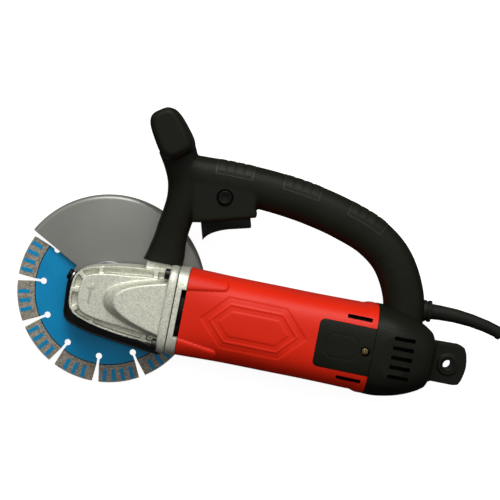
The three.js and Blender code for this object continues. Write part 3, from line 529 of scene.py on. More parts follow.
def case_outline(inset, back_x=FLANGE_X + 2):
    upper = []
    for x, y in case_side:
        reach = math.hypot(x - 25, y)
        upper.append((x + (25 - x) * inset / reach, y - y * inset / reach))
    upper.append((back_x, 35.4 - inset))
    return upper + [(x, -y) for x, y in reversed(upper[1:])]


def arch_ring(tip_x, half, z, end_x=62):
    """The hump's outline from above: blunt at the nose and nearly straight at the flange."""
    steps = [i / 16 for i in range(17)]
    side = [(tip_x + (end_x - tip_x) * s ** 2.4, half * s) for s in steps]
    return [(x, -y, z) for x, y in reversed(side[1:])] + [(x, y, z) for x, y in side]


def barrel(sections, count=96, per_gap=6):
    """A body along X through (x, half height, half depth, power) stops."""
    places = []
    for a, b in zip(sections, sections[1:]):
        places += list(np.linspace(a[0], b[0], per_gap, endpoint=False))
    places.append(sections[-1][0])
    rings = []
    for x in places:
        a, b, power = through(sections, x)
        section = oval(a, b, power, count)
        rings.append(np.column_stack([np.full(count, x), section]))
    return lofted(rings)


def turned_block(x, y, turn, length, width, z0, z1):
    c, s = math.cos(math.radians(turn)), math.sin(math.radians(turn))
    corners = [(-1, -1), (1, -1), (1, 1), (-1, 1)]
    return plate([(x + u * length / 2 * c - v * width / 2 * s, y + u * length / 2 * s + v * width / 2 * c)
                  for u, v in corners], z0, z1)


rib_places = [(-23, 16.4, 137), (-6.4, 23.6, 104), (45, 30.6, 92), (-27.2, 1.2, 178),
              (-23.8, -15.8, 218), (-6.4, -23.6, 256), (45, -30.6, 268)]
gear_case_forms = [
    plate(case_outline(0), -27, 15.2),
    rim(case_outline(0), case_outline(2.2), 8, 20),
    plate(case_outline(8.4), 8, 24.6),
    *[turned_block(x, y, turn, 8.6, 4.4, 8, 20) for x, y, turn in rib_places],
    lofted([arch_ring(-1, 29.5, 20), arch_ring(0.6, 28.6, 24.9), arch_ring(3.4, 27.6, 28.5),
            arch_ring(10.6, 25.9, 35), arch_ring(12.4, 25.3, 36)]),
    barrel([(FLANGE_X, 40.6, 39, 5.2), (FLANGE_X + 1, 41.5, 40, 5.2), (PLATE_X - 0.8, 41.5, 40, 5.2)],
           96, 2),
    plate([(34, 29), (34, 41.5), (57, 41.5), (59, 29)], -13, 13),
]
case = scene_object("gear_case_casting", gear_case_forms)
fused(case, 0.6, 5)
pockets = [turned([(0, 53.2), (6.2, 53.2), (6.2, FLANGE_X + 0.4), (0, FLANGE_X + 0.4)], 24, (y, z), "X")
           for y, z in screw_places]
lock_angle = np.array([[math.cos(LOCK_TURN), -math.sin(LOCK_TURN), 0],
                       [math.sin(LOCK_TURN), math.cos(LOCK_TURN), 0], [0, 0, 1]])


def on_lock_axis(form):
    """Turns a form made along X onto the axis of the spindle lock."""
    return np.asarray(form[0]) @ lock_angle.T, form[1]


lock_bore = on_lock_axis(turned([(0, 24), (6.6, 24), (6.6, 50), (0, 50)], 32, (0, LOCK_Z), "X"))
carved(case, [*pockets, lock_bore])
finished(case, cast, "machine", ["gear_case"], 40)

# %% [markdown]
# A plain arrow for the direction of rotation stands 0.8 mm proud of the plateau. It is a thin plate
# with bevelled edges, as a casting pattern would have it.

# %% Rotation arrow
arrow = scene_object("rotation_arrow", [plate(
    [(-13.2, -8), (-11.8, -8), (-11.6, 6), (-9.6, 5.4), (-11.4, 11.4), (-16, 5.4), (-13.2, 5.9)],
    24.3, 25.4)])
bevelled(arrow, 0.25)
finished(arrow, cast, "machine")

# %% [markdown]
# Behind the case sits a second cast plate that carries the front bearing. It has the same square
# outline, and a wide window on each flat side through which the fan blows its air out.

# %% Intermediate plate
middle = scene_object("intermediate_plate_casting", [
    barrel([(PLATE_X + 0.1, 41.5, 40, 5.2), (70, 41.5, 40, 5), (HOUSING_X - 0.3, 41.5, 40, 4.6)],
           128, 3)])
windows = [box_form(72, 90, -22.8, 22.8, *span) for span in ((20, 60), (-60, -20))]
fan_room = turned([(0, 72), (34, 72), (34, 90), (0, 90)], 48, (0, 0), "X")
carved(middle, windows)
carved(middle, [fan_room])
bevelled(middle, 0.7, 40)
finished(middle, cast, "machine", ["intermediate_plate"], 40)

# %% [markdown]
# Behind the windows stands the black ring that guides the fan's air. It keeps a finger off the fan, and
# it is what makes the windows look like plain black slots.

# %% Fan shroud
shroud = scene_object("fan_shroud", [
    turned([(31.5, 72.4), (33.6, 72.4), (33.6, 76), (31.5, 76)], 96, along="X")])
finished(shroud, plain_black, "machine")

# %% [markdown]
# The black plate under the gear case is a shallow steel tray. Its outline is one ring of stops, the
# rim stands a little above the tray's floor, and a bevel softens every edge as pressing would.

# %% Base plate
tray_stops = [(57.6, 32), (40, 31.5), (20, 30.4), (0, 27.4), (-16, 23), (-26, 18), (-32, 12.4),
              (-37.4, 9.9), (-40.0, 7), (-40.4, 0), (-39.6, -14), (-38.6, -26), (-37.2, -31),
              (-34, -34.6), (-29, -36.8), (-12.9, -41.7), (13, -45.5), (39, -48.2), (58, -50.2),
              (61.6, -49.2), (61.8, -42.6), (57.8, -42.2)]


def shrunk(outline, inset, centre=(12, -6)):
    moved = []
    for x, y in outline:
        reach = math.hypot(x - centre[0], y - centre[1])
        moved.append((x + (centre[0] - x) * inset / reach, y + (centre[1] - y) * inset / reach))
    return moved


tray = scene_object("base_plate_tray", [
    plate(tray_stops, -31.9, -29), rim(tray_stops, shrunk(tray_stops, 2.2), -30, -27.3),
    turned([(10, -39.3), (26, -39.3), (26, -31), (10, -31)], 72)])
bevelled(tray, 0.5, 30)
finished(tray, enamel, "machine", ["base_plate"], 35)

# %% [markdown]
# Four cap screws hold the head together. Each head is a drum with a hexagon socket; only its side
# shows in the pocket before the flange.

# %% Flange screws
for number, (y, z) in enumerate(screw_places, 1):
    head = turned([(0, 53.6), (4.6, 53.6), (5.2, 54.2), (5.2, 58.2), (0, 58.2)], 40, (y, z), "X")
    screw = scene_object(f"cap_screw_{number}", [head])
    socket = turned([(0, 52), (2.6, 52), (2.6, 56.4), (0, 56.4)], 6, (y, z), "X")
    carved(screw, [socket])
    finished(screw, blacked, "machine", [f"flange_screw_{number}"])

# %% [markdown]
# The spindle lock is a plunger with a round button at the nose. The button has a waist, a domed face
# and a bright worn ring, so it is one turned profile with a separate thin washer.

# %% Spindle lock
button = scene_object("spindle_lock_knob", [on_lock_axis(turned(
    [(0, 20.2), (2.9, 20.2), (2.9, 33.6), (5.4, 33.6), (5.5, 34.4), (4.7, 35.2), (4.7, 37.8), (5.5, 38.6),
     (5.5, 40.4), (4.8, 41.4), (3, 41.75), (0, 41.8)], 48, (0, LOCK_Z), "X"))])
finished(button, plain_black, "spindle_lock", ["spindle_lock_button"])
washer = scene_object("spindle_lock_ring", [on_lock_axis(turned(
    [(4.7, 35.9), (5.5, 35.9), (5.5, 37.1), (4.7, 37.1)], 48, (0, LOCK_Z), "X"))])
finished(washer, bright, "spindle_lock")

# %% [markdown]
# ## Guard and disc
# The guard is a half round of 1.5 mm sheet, pressed so that its flat side turns down into a rim with a
# soft 5 mm corner. A profile swept through half a turn about the spindle gives exactly that, and a flat
# ring with a collar carries it on the neck.

# %% Guard
GUARD_R, GUARD_TOP, SHEET = 95, -40.8, 1.5
GUARD_START, GUARD_SWEEP = -28.5, 180


def corner(cx, cz, r, start, end, steps=6):
    angles = np.radians(np.linspace(start, end, steps))
    return [(cx + r * math.cos(a), cz + r * math.sin(a)) for a in angles]


corner_at = (GUARD_R - 5, GUARD_TOP - 5)
RING_R = 24.6
guard_profile = [(RING_R, GUARD_TOP - SHEET), *corner(*corner_at, 5 - SHEET, 90, 0),
                 (GUARD_R - SHEET, FLOOR + 0.5), (GUARD_R - SHEET / 2, FLOOR), (GUARD_R, FLOOR + 0.5),
                 *corner(*corner_at, 5, 0, 90), (RING_R, GUARD_TOP)]
guard_rings = []
for degrees in np.linspace(GUARD_START, GUARD_START + GUARD_SWEEP, 121):
    c, s = math.cos(math.radians(degrees)), math.sin(math.radians(degrees))
    guard_rings.append([(r * c, r * s, z) for r, z in guard_profile])
guard = scene_object("guard_pressing", [
    lofted(guard_rings),
    turned([(RING_R, GUARD_TOP - SHEET), (40, GUARD_TOP - SHEET), (40, GUARD_TOP - 0.02),
            (RING_R, GUARD_TOP - 0.02)], 96),
    turned([(26.3, GUARD_TOP - 1), (27.8, GUARD_TOP - 1), (27.8, -32.7), (26.3, -32.7)], 72)])
finished(guard, powder_grey, "guard_set", ["guard"])

# %% [markdown]
# The disc's core is a blue steel blank with twelve keyhole slots that keep it from warping. Between
# the slots sit twelve sintered segments, and across each segment lie three or four blue bars.

# %% Disc core
DISC_MID, CORE_T, SEGMENT_T = -46.6, 2.0, 2.8
SEGMENT_R, DISC_R, HOLE_AT, SLOTS, SLOT_TURN = 72.7, 90, 64.8, 12, 2.3


def spun(form, degrees):
    c, s = math.cos(math.radians(degrees)), math.sin(math.radians(degrees))
    return np.asarray(form[0]) @ np.array([[c, s, 0], [-s, c, 0], [0, 0, 1]]), form[1]


def disc_ring(inner, outer, thick, steps):
    low, high = DISC_MID - thick / 2, DISC_MID + thick / 2
    return turned([(inner, low), (outer, low), (outer, high), (inner, high)], steps)


slot_angles = [SLOT_TURN + k * 360 / SLOTS for k in range(SLOTS)]
core = scene_object("disc_core", [disc_ring(11.1, SEGMENT_R + 0.4, CORE_T, 180)])
hole = turned([(0, -50), (3.1, -50), (3.1, -43), (0, -43)], 28, (HOLE_AT, 0))
neck = plate([(HOLE_AT, -1.15), (76, -1.3), (76, 1.3), (HOLE_AT, 1.15)], -49.5, -43.5)
for cutter in (hole, neck):
    carved(core, [spun(cutter, turn) for turn in slot_angles])
finished(core, lacquer, "spindle_set", ["cutting_disc"])

# %% Diamond segments
def segment(turn):
    """One segment between two slots; the slots open out towards the rim."""
    gaps = {SEGMENT_R: 0.98, DISC_R: 2.1}
    rings = []
    for share in np.linspace(0, 1, 13):
        ring = []
        for r, z in ((SEGMENT_R, -1), (DISC_R, -1), (DISC_R, 1), (SEGMENT_R, 1)):
            angle = math.radians(turn + gaps[r] + share * (30 - 2 * gaps[r]))
            ring.append((r * math.cos(angle), r * math.sin(angle), DISC_MID + z * SEGMENT_T / 2))
        rings.append(ring)
    return lofted(rings)


rim_segments = scene_object("diamond_segments", [segment(turn) for turn in slot_angles])
bevelled(rim_segments, 0.25, 40, 1)
finished(rim_segments, matrix, "spindle_set")

# %% [markdown]
# A laser weld joins each segment to the core, and leaves a narrow dark seam between the slots. Each
# seam is a thin arc of its own, drawn on both faces of the disc.

# %% Weld seams
def seam(turn):
    rings = []
    for share in np.linspace(0, 1, 9):
        angle = math.radians(turn + 1.2 + share * 27.6)
        rings.append([(r * math.cos(angle), r * math.sin(angle), DISC_MID + z)
                      for r, z in ((72.1, -1.1), (72.9, -1.5), (72.9, 1.5), (72.1, 1.1))])
    return lofted(rings)


seams = scene_object("weld_seams", [seam(turn) for turn in slot_angles])
finished(seams, blacked, "spindle_set")

# %% Blue bars across the segments
bars = []
for number, turn in enumerate(slot_angles):
    count = 4 if number % 2 else 3
    for k in range(count):
        angle = turn + 15 + (k - (count - 1) / 2) * 6.1
        half = SEGMENT_T / 2 + 0.12
        bar = plate([(77.4, -1.9), (88.8, -1.9), (88.8, 1.9), (77.4, 1.9)],
                    DISC_MID - half, DISC_MID + half)
        bars.append(spun(bar, angle))
bar_piece = scene_object("segment_bars", bars)
finished(bar_piece, lacquer, "spindle_set")

# %% [markdown]
# Under the disc, the inner flange, the nut and the guard's clamp band are plain turned steel. They are
# remade here with enough steps to look round.

# %% Flanges, nut and clamp band
inner = scene_object("inner_disc_flange", [turned(
    [(7.3, -39.9), (13, -39.9), (15, -40.6), (20.4, -42.2), (21, -42.9), (21, -45.3), (10.7, -45.3),
     (10.7, -46.9), (7.3, -46.9)], 72)])
finished(inner, bright, "spindle_set", ["inner_flange"])
nut = scene_object("disc_flange_nut", [turned(
    [(7.3, -47.2), (10.5, -47.2), (10.5, -47.9), (19.6, -47.9), (20, -48.3), (20, -51), (19.3, -51.7),
     (7.3, -51.7)], 72)])
carved(nut, [turned([(0, -53), (2.5, -53), (2.5, -49.2), (0, -49.2)], 20,
                    (13.5 * math.cos(a), 13.5 * math.sin(a))) for a in np.radians([45, 135, 225, 315])])
finished(nut, bright, "spindle_set", ["flange_nut"])
BAND_R, BAND_OUT, EAR_HALF, SLIT_HALF, EAR_END = 28.1, 29.9, 5.2, 1.6, 40.1


def on_circle(r, start, end):
    return [(r * math.cos(a), r * math.sin(a)) for a in np.linspace(start, end, 73)]


ear_turn, slit_turn = math.asin(EAR_HALF / BAND_OUT), math.asin(SLIT_HALF / BAND_R)
band = scene_object("guard_band", [plate(
    [(EAR_END, SLIT_HALF), (EAR_END, EAR_HALF), *on_circle(BAND_OUT, ear_turn, 2 * math.pi - ear_turn),
     (EAR_END, -EAR_HALF), (EAR_END, -SLIT_HALF),
     *on_circle(BAND_R, 2 * math.pi - slit_turn, slit_turn)],
    -40, -34)])
bevelled(band, 0.3, 40)
finished(band, bright, "guard_set", ["guard_clamp_band"])

# %% [markdown]
# ## The motor barrel
# The red housing is one moulding: a rounded square tube that grows deeper towards the brushes. Its
# small shapes are real relief, so the skin is a fine grid of about a millimetre whose points are lifted
# or sunk along the surface: three nested hexagon steps on each flat side, and a finger-shaped lobe over
# each of the four long screws. A flared collar marks its rear end.

# %% Relief helpers
def step(value, width):
    """0 to 1 as the value passes 0, over a given width."""
    ramp = np.clip(value / width + 0.5, 0, 1)
    return ramp * ramp * (3 - 2 * ramp)


def skin(stops, places, count, relief=None, inward=0.0):
    """Rings round a barrel; relief(x, y, z) lifts each point along the surface."""
    rings = []
    for x in places:
        a, b, power = through(stops, x)
        section = oval(a - inward, b - inward, power, count)
        ahead = np.roll(section, -1, axis=0) - np.roll(section, 1, axis=0)
        normal = np.column_stack([ahead[:, 1], -ahead[:, 0]])
        normal /= np.linalg.norm(normal, axis=1)[:, None]
        if relief:
            section = section + normal * relief(x, section[:, 0], section[:, 1])[:, None]
        rings.append(np.column_stack([np.full(count, float(x)), section]))
    return rings


# %% Housing skin
BARREL_STEPS = 340
housing_stops = [(76.5, 41.6, 40, 3.6), (96, 41.3, 40.2, 3.2), (116, 41, 40.8, 2.9),
                 (160, 40.8, 43, 3), (204, 40.6, 45.4, 3.2), (240, 41, 48, 3.4), (245, 41.1, 48.4, 3.4),
                 (249, 42.4, 49.1, 3.3), (257.2, 42.7, 49.5, 3.2)]
HEX_X, HEX_HALF_LENGTH, HEX_HALF_HEIGHT, HEX_POINT = 144.5, 50.4, 24.4, 22.7
HEX_SIDE = math.hypot(HEX_POINT, HEX_HALF_HEIGHT)
hexagon_steps = [(0, -0.55), (5.6, 0.55), (7.6, -0.55), (12.6, 0.55)]
LOBE_START, LOBE_END = 78, 110.2


def housing_relief(x, y, z):
    """Height of the relief: steps at set distances inside the hexagon, and the lobes."""
    across = np.abs(y)
    slant = ((HEX_HALF_LENGTH - abs(x - HEX_X)) * HEX_HALF_HEIGHT - across * HEX_POINT) / HEX_SIDE
    inside = np.minimum(HEX_HALF_HEIGHT - across, slant)
    lines = sum(height * step(inside - start, 1.0) for start, height in hexagon_steps)
    middle, half = [np.interp(x, [LOBE_START, LOBE_END], ends) for ends in ((30.8, 32.4), (7.8, 4.7))]
    reach = np.hypot(max(0, x - LOBE_END), across - middle) / half
    lobe = 2.2 * np.sqrt(np.clip(1 - reach ** 4, 0, 1)) * (np.abs(z) > 15)
    return lines + lobe


housing_places = np.linspace(76.8, 257.2, 280)
outer = skin(housing_stops, housing_places, BARREL_STEPS, housing_relief)
for ring in outer:
    if ring[0][0] < 100:
        ring[:, 2] = np.maximum(ring[:, 2], -40.3)
inner_skin = skin(housing_stops, np.linspace(257.2, 76.8, 12), BARREL_STEPS, inward=3)
housing = scene_object("housing_moulding", [lofted([*outer, *inner_skin], looped=True)])


def rounded(x0, x1, y0, y1, r, steps=8):
    points = []
    for turn, x, y in ((-90, x1 - r, y0 + r), (0, x1 - r, y1 - r), (90, x0 + r, y1 - r),
                       (180, x0 + r, y0 + r)):
        points += corner(x, y, r, turn, turn + 90, steps)
    return points


def cover_plan(grow):
    return rounded(204.5 - grow, 257.2 + 12, -22.4 - grow, 22.4 + grow, 5 + grow)


openings = [plate(cover_plan(0.35), 38, 60), plate(cover_plan(0.35), -60, -38)]
for side in (29.2, -29.2):
    slot_plan = rounded(228.5, 252, side - 1.9, side + 1.9, 0.8, 4)
    openings += [plate(slot_plan, 36, 60), plate(slot_plan, -60, -36)]
carved(housing, openings)
finished(housing, red_nylon, "machine", ["motor_housing"], 38)

# %% [markdown]
# The four slots by the brush covers must not show daylight. On the real machine the brush gear fills
# the space behind them, and here a dark liner inside the skin does the same.

# %% Dark liner behind the slots
liner_places = [226, 240, 255]
liner = scene_object("slot_liner", [lofted(
    [*skin(housing_stops, liner_places, 96, inward=3.4),
     *skin(housing_stops, liner_places[::-1], 96, inward=4.6)], looped=True)])
carved(liner, [plate(cover_plan(0.5), 30, 60), plate(cover_plan(0.5), -60, -30)])
finished(liner, plain_black, "machine")

# %% [markdown]
# A black panel covers each brush. It is cut from the same surface as the housing, with a thin gap all
# round, a shallow octagon pressed into it, and a sunk seat for its yellow cross-head screw.

# %% Brush covers
COVER_SCREW_X = 250.3


def cover_relief(x, y, z):
    along, across = abs(x - 228), np.abs(y)
    octagon = np.maximum(np.maximum(along / 15, across / 11.5), (along + across) / 22)
    return -0.35 * (step(1 - octagon, 0.06) - step(0.93 - octagon, 0.06))


cover_places = np.linspace(203, 257.2, 73)
cover_skin = [*skin(housing_stops, cover_places, BARREL_STEPS, cover_relief),
              *skin(housing_stops, [257.2, 230, 203], BARREL_STEPS, inward=2.6)]
for word, side in (("near", 1), ("far", -1)):
    cover = scene_object(f"brush_panel_{word}", [lofted(cover_skin, looped=True)])
    carved(cover, [plate(cover_plan(0), *sorted((30 * side, 60 * side)))], "INTERSECT")
    seat = turned([(0, 46.2), (4.7, 46.2), (4.7, 60), (0, 60)], 40, (COVER_SCREW_X, 0))
    carved(cover, [seat if side > 0 else flipped(seat)])
    finished(cover, black_nylon, "machine", [f"brush_cover_{word}"], 35)

    screw = turned([(0, 44), (2, 44), (2, 46.25), (3.2, 46.25), (3.2, 46.9), (2.8, 47.4), (1.9, 47.7),
                    (0, 47.9)], 40, (COVER_SCREW_X, 0))
    thing = scene_object(f"brush_panel_screw_{word}", [screw if side > 0 else flipped(screw)])
    for a, b in ((2.2, 0.7), (0.7, 2.2)):
        bar = box_form(COVER_SCREW_X - a, COVER_SCREW_X + a, -b, b, 45, 51)
        carved(thing, [bar if side > 0 else flipped(bar)])
    finished(thing, brass_plate, "machine", [f"cover_screw_{word}"])

# %% [markdown]
# ## Rear cap and tail
# The cap closes the barrel and rounds in to the tail. Five louvres on each flat side let the cooling
# air in, and a crease runs back from the seam where the flat panel meets the shoulder.

# %% Rear cap
cap_stops = [(257.5, 42.9, 49.8, 3.2), (266, 42.8, 51.6, 3.2), (278, 41, 53, 3.2), (291, 37.6, 51.4, 3.2),
             (302, 33.2, 47.6, 3.1), (310, 28.8, 42.4, 3), (314.2, 25, 38, 3), (316.3, 20, 33, 3)]


def cap_relief(x, y, z):
    panel = step(25.5 - y, 1.4) * step(y + 30, 6) * float(step(np.array(294 - x), 14)) * (np.abs(z) > 20)
    return 0.55 * panel


cap_outer = skin(cap_stops, np.linspace(257.6, 316.3, 74), BARREL_STEPS, cap_relief)
for ring in cap_outer:
    ring[:, 2] = np.clip(ring[:, 2], FLOOR, -FLOOR)
tip = cap_outer[-1] * (1, 0.001, 0.001)
cap_inner = skin(cap_stops, np.linspace(312, 257.6, 9), BARREL_STEPS, inward=3)
inner_tip = cap_inner[0] * (1, 0.001, 0.001)
inner_wall = box_form(262, 300, -29, 29, -1, 1)
cap = scene_object("rear_cap_moulding", [
    lofted([*cap_outer, tip, inner_tip, *cap_inner], looped=True), inner_wall])
louvres = []
for y in (18, 9, 0, -9, -18):
    gap = rounded(274.6, 294.4, y - 1.9, y + 1.9, 0.7, 4)
    louvres += [plate(gap, 36, 60), plate(gap, -60, -36)]
carved(cap, louvres)
finished(cap, black_nylon, "machine", ["rear_cap"], 38)

# %% [markdown]
# The tail is a flat lug with a steel-lined eye, moulded with a heavy root where it leaves the cap. It
# is fused like the casting, so that the root and the raised ring round the eye get soft corners.

# %% Tail lug and its bush
EYE = (333, -0.8)
lug_outline = [(314, -19), (341, -19), (346.2, -17.8), (348.6, -13), (350.2, -6), (350.8, 0), (350.2, 6),
               (348.8, 12.4), (346.2, 17.9), (341, 19.4), (314, 18.6)]
lug = scene_object("tail_lug_moulding", [
    plate(lug_outline, -11, 11),
    turned([(0, -12.4), (9.3, -12.4), (9.8, -11.8), (9.8, 11.8), (9.3, 12.4), (0, 12.4)], 48, EYE),
    plate([(312, -20), (319, -19.6), (319, 19.2), (312, 20)], -13.5, 13.5)])
fused(lug, 0.55, 6)
carved(lug, [turned([(0, -14), (7, -14), (7, -11.6), (6.1, -11.2), (6.1, 11.2), (7, 11.6), (7, 14),
                     (0, 14)], 48, EYE)])
finished(lug, black_nylon, "machine", ["tail_lug"], 38)
eye_bush = scene_object("eye_bush", [turned(
    [(4.7, -12.2), (5.1, -12.6), (6, -12.6), (6, 12.6), (5.1, 12.6), (4.7, 12.2)], 48, EYE)])
finished(eye_bush, blacked, "machine", ["lug_bush"])

# %% [markdown]
# ## The loop handle
# The handle is two nylon shells. A grip arches over the motor from the post at the front to the cap at
# the back, a cross grip sits on top of the post, and the switch box hangs under the grip. Swept limbs
# of oval section give each part its thickness; fusing them gives the flowing joints of the real
# moulding. The two shells are then cut apart along the middle, which leaves the true parting line.

# %% Limbs of the handle
arch_path = [(58, 128.4), (96, 129.2), (135, 128), (176, 123), (212, 114.4), (240, 103.6), (261, 87.6),
             (274, 68), (281, 50), (283.5, 30)]
post_path = [(46.5, 34), (48.6, 41), (50.6, 60), (51.7, 74), (54, 90), (55.4, 106), (53.4, 122),
             (46.5, 140), (40, 152)]
arch_sizes = [(0, 19.6, 18.5), (0.4, 19.6, 18.6), (0.7, 19.6, 18.9), (1, 19.6, 20.4)]
post_sizes = [(0, 18.8, 18.6), (0.12, 18, 17), (0.25, 15.8, 16.6), (0.4, 15.2, 17), (0.6, 15.4, 18),
              (0.8, 16.2, 18.8), (1, 17.6, 19)]


def path_stops(path):
    spots = np.array(path, float)
    walked = np.concatenate([[0], np.cumsum(np.linalg.norm(np.diff(spots, axis=0), axis=1))])
    return np.column_stack([walked / walked[-1], spots])


def limb_ring(path, sizes, t, power, count):
    """One section of a limb: its points, and the directions that lead out of them."""
    stops = path_stops(path)
    spot = through(stops, t)
    ahead = through(stops, min(t + 0.01, 1)) - through(stops, max(t - 0.01, 0))
    ahead /= np.linalg.norm(ahead)
    up = np.array([-ahead[1], ahead[0], 0])
    section = oval(*through(sizes, t), power, count)
    turn = np.roll(section, -1, axis=0) - np.roll(section, 1, axis=0)
    out = np.column_stack([turn[:, 1], -turn[:, 0]])
    out /= np.linalg.norm(out, axis=1)[:, None]
    points = np.array([*spot, 0]) + section[:, :1] * up + section[:, 1:] * (0, 0, 1)
    return points, out[:, :1] * up + out[:, 1:] * (0, 0, 1)


def limb(path, sizes, power, steps=60, count=72):
    return lofted([limb_ring(path, sizes, t, power, count)[0] for t in np.linspace(0, 1, steps + 1)])


# %% Cross grip and switch box
BAR_AT, BAR_TURN, BAR_END = (33.6, 163.4), math.radians(125), 52
BAR_LENGTH, BAR_WIDTH, BAR_TAPER = 23.4, 15.6, 0.07


def grip_bar():
    """The grip across the top of the post: a slight barrel with broad chamfers round its end faces."""
    end_stops = [(0, -4.4), (0.3, -3.9), (2.2, -1.6), (3.6, -0.5), (7, 0), (30, 0.5), (BAR_END, 0.8)]
    stops = end_stops + [(2 * BAR_END - z, inset) for z, inset in reversed(end_stops[:-1])]
    c, s = math.cos(BAR_TURN), math.sin(BAR_TURN)
    rings = []
    for z, inset in stops:
        u, v = oval(BAR_LENGTH + inset, BAR_WIDTH + inset, 3.4, 96).T
        v = v * (1 - BAR_TAPER * u / BAR_WIDTH)
        rings.append(np.column_stack([BAR_AT[0] + u * c - v * s, BAR_AT[1] + u * s + v * c,
                                      np.full(96, z - BAR_END)]))
    return lofted(rings)


box_outline = [(58, 130), (61, 112), (64, 98), (68.4, 84.8), (76, 86.1), (127.4, 100.9), (127.2, 106),
               (125.6, 107.4), (124, 130)]
FOOT_Y = 41.8
TRIGGER_AT, TRIGGER_TURN = (76, 86.1), math.atan2(14.8, 51.4)
LOCK_BUTTON = (94.6, 113.9)


def by_trigger(form):
    """From the trigger's own axes, along and away from the box's lower face, to the machine's."""
    c, s = math.cos(TRIGGER_TURN), math.sin(TRIGGER_TURN)
    along, away, z = np.asarray(form[0]).T
    x, y = TRIGGER_AT[0] + along * c + away * s, TRIGGER_AT[1] + along * s - away * c
    return np.column_stack([x, y, z]), form[1]


def switch_box():
    """The box under the grip, with its side edges rounded in three steps."""
    rings = []
    for z, inset in ((-18.2, 3.2), (-17.6, 1.4), (-16, 0.3), (-13, 0), (13, 0), (16, 0.3), (17.6, 1.4),
                     (18.2, 3.2)):
        rings.append([(x, y, z) for x, y in shrunk(box_outline, inset, (94, 110))])
    return lofted(rings)


handle = scene_object("handle_moulding", [
    limb(arch_path, arch_sizes, 2.4), limb(post_path, post_sizes, 2.6), grip_bar(), switch_box()])
fused(handle, 0.95, 7)
handle_screws = [(52, 70), (52, 124), (166, 124.5), (268, 79)]
rooms = [box_form(0, 110, 15, FOOT_Y, -60, 60),
         lofted(skin([(250, 42.9, 49.8, 3.2), *cap_stops], np.linspace(250, 316.3, 30), 96, inward=-0.3))]
carved(handle, rooms)
carved(handle, [by_trigger(plate([(0, -16), (0, 24), (48.4, 24), (48.4, -16)], -9.6, 9.6)),
                turned([(0, 10.4), (7.5, 10.4), (7.5, 17.4), (8.4, 18.6), (8.4, 30), (0, 30)], 48,
                       LOCK_BUTTON)])
carved(handle, [turned([(0, -30), (4.1, -30), (4.1, -15.6), (0, -15.6)], 28, spot)
                for spot in handle_screws])

# %% Part the two shells
PARTING = 0.18


def half_of(source, name, side):
    """A copy of one side of a solid, closed where it was cut."""
    part = source.copy()
    part.data = source.data.copy()
    part.name = name
    bpy.context.scene.collection.objects.link(part)
    shape = bmesh.new()
    shape.from_mesh(part.data)
    plane = placed((0, 0, side * PARTING))
    cut = bmesh.ops.bisect_plane(shape, geom=[*shape.verts, *shape.edges, *shape.faces], plane_co=plane,
                                 plane_no=(0, 0, side), clear_inner=True)
    bmesh.ops.holes_fill(shape, edges=[e for e in cut["geom_cut"] if isinstance(e, bmesh.types.BMEdge)])
    bmesh.ops.triangulate(shape, faces=[f for f in shape.faces if len(f.verts) > 8])
    shape.to_mesh(part.data)
    shape.free()
    return part


near_shell = half_of(handle, "handle_shell_near", 1)
far_shell = half_of(handle, "handle_shell_far", -1)
bpy.data.objects.remove(handle)
finished(near_shell, black_nylon, "machine", ["handle_near_shell"], 42)
finished(far_shell, black_nylon, "machine", ["handle_far_shell"], 42)

# %% [markdown]
# Three groups of raised pads give the fingers a hold. Each group is four blocks inside a thin frame,
# wrapped over the top of the grip. They lie on the grip's own surface, so each pad is a patch of that
# surface with a thickness, and it starts just under the skin. They stand only 0.35 mm proud: what the
# eye sees is mostly their painted highlight, as pads and frames are coloured paler than the grip.

# %% Grip pads
def grip_patch(t0, t1, s0, s1, lift, power=2.4):
    """A raised patch between two places along the arch and two distances from its top line."""
    rings = []
    for t in np.linspace(t0, t1, 7):
        points, out = limb_ring(arch_path, arch_sizes, t, power, 360)
        strides = np.linalg.norm(np.roll(points, -1, axis=0) - points, axis=1)
        walked = np.concatenate([[0], np.cumsum(strides)])
        marks = np.linspace(s0, s1, 19) % walked[-1]
        spot, way = [np.column_stack([np.interp(marks, walked, np.append(rows[:, k], rows[0, k]))
                                      for k in range(3)]) for rows in (points, out)]
        rings.append(np.concatenate([spot + way * lift, (spot - way * 1.2)[::-1]]))
    return lofted(rings)


PAD_REACH = 25.5
pad_groups = [(0.089, 0.211), (0.322, 0.444), (0.556, 0.678)]
for number, (start, end) in enumerate(pad_groups, 1):
    width = (end - start) / 4
    forms = []
    for k in range(4):
        t0, t1 = start + (k + 0.15) * width, start + (k + 0.85) * width
        forms.append(grip_patch(t0, t1, -PAD_REACH + 3.4, PAD_REACH - 3.4, 0.35))
    pads = scene_object(f"grip_pads_{number}", forms)
    finished(pads, pad_highlight_nylon, "machine")

    edges = [grip_patch(start, end, *sorted((side * (PAD_REACH - 0.9), side * PAD_REACH)), 0.3)
             for side in (1, -1)]
    edges += [grip_patch(t, t + 0.0033, -PAD_REACH, PAD_REACH, 0.3) for t in (start - 0.0033, end)]
    thin_frame = scene_object(f"grip_frame_{number}", edges)
    finished(thin_frame, frame_highlight_nylon, "machine")

# %% [markdown]
# Three low ribs cross each side of the handle's rear leg. They are patches of the same kind, about a
# millimetre wide.

# %% Ribs on the rear leg
ribs = scene_object("handle_ribs", [grip_patch(t, t + 0.0035, *sorted((6 * side, 44 * side)), 0.3)
                                    for t in (0.735, 0.80, 0.855) for side in (1, -1)])
finished(ribs, black_nylon, "machine")

# %% [markdown]
# The trigger is a moulded lever with a hollowed face and a pointed toe. The lock button beside it is
# a low drum with a dished top, sunk in a round seat.

# %% Trigger and lock button
def arc_through(a, b, c, steps=12):
    """A quadratic curve from a to c, pulled towards b."""
    return [tuple((1 - u) ** 2 * np.array(a) + 2 * u * (1 - u) * np.array(b) + u * u * np.array(c))
            for u in np.linspace(0, 1, steps)]


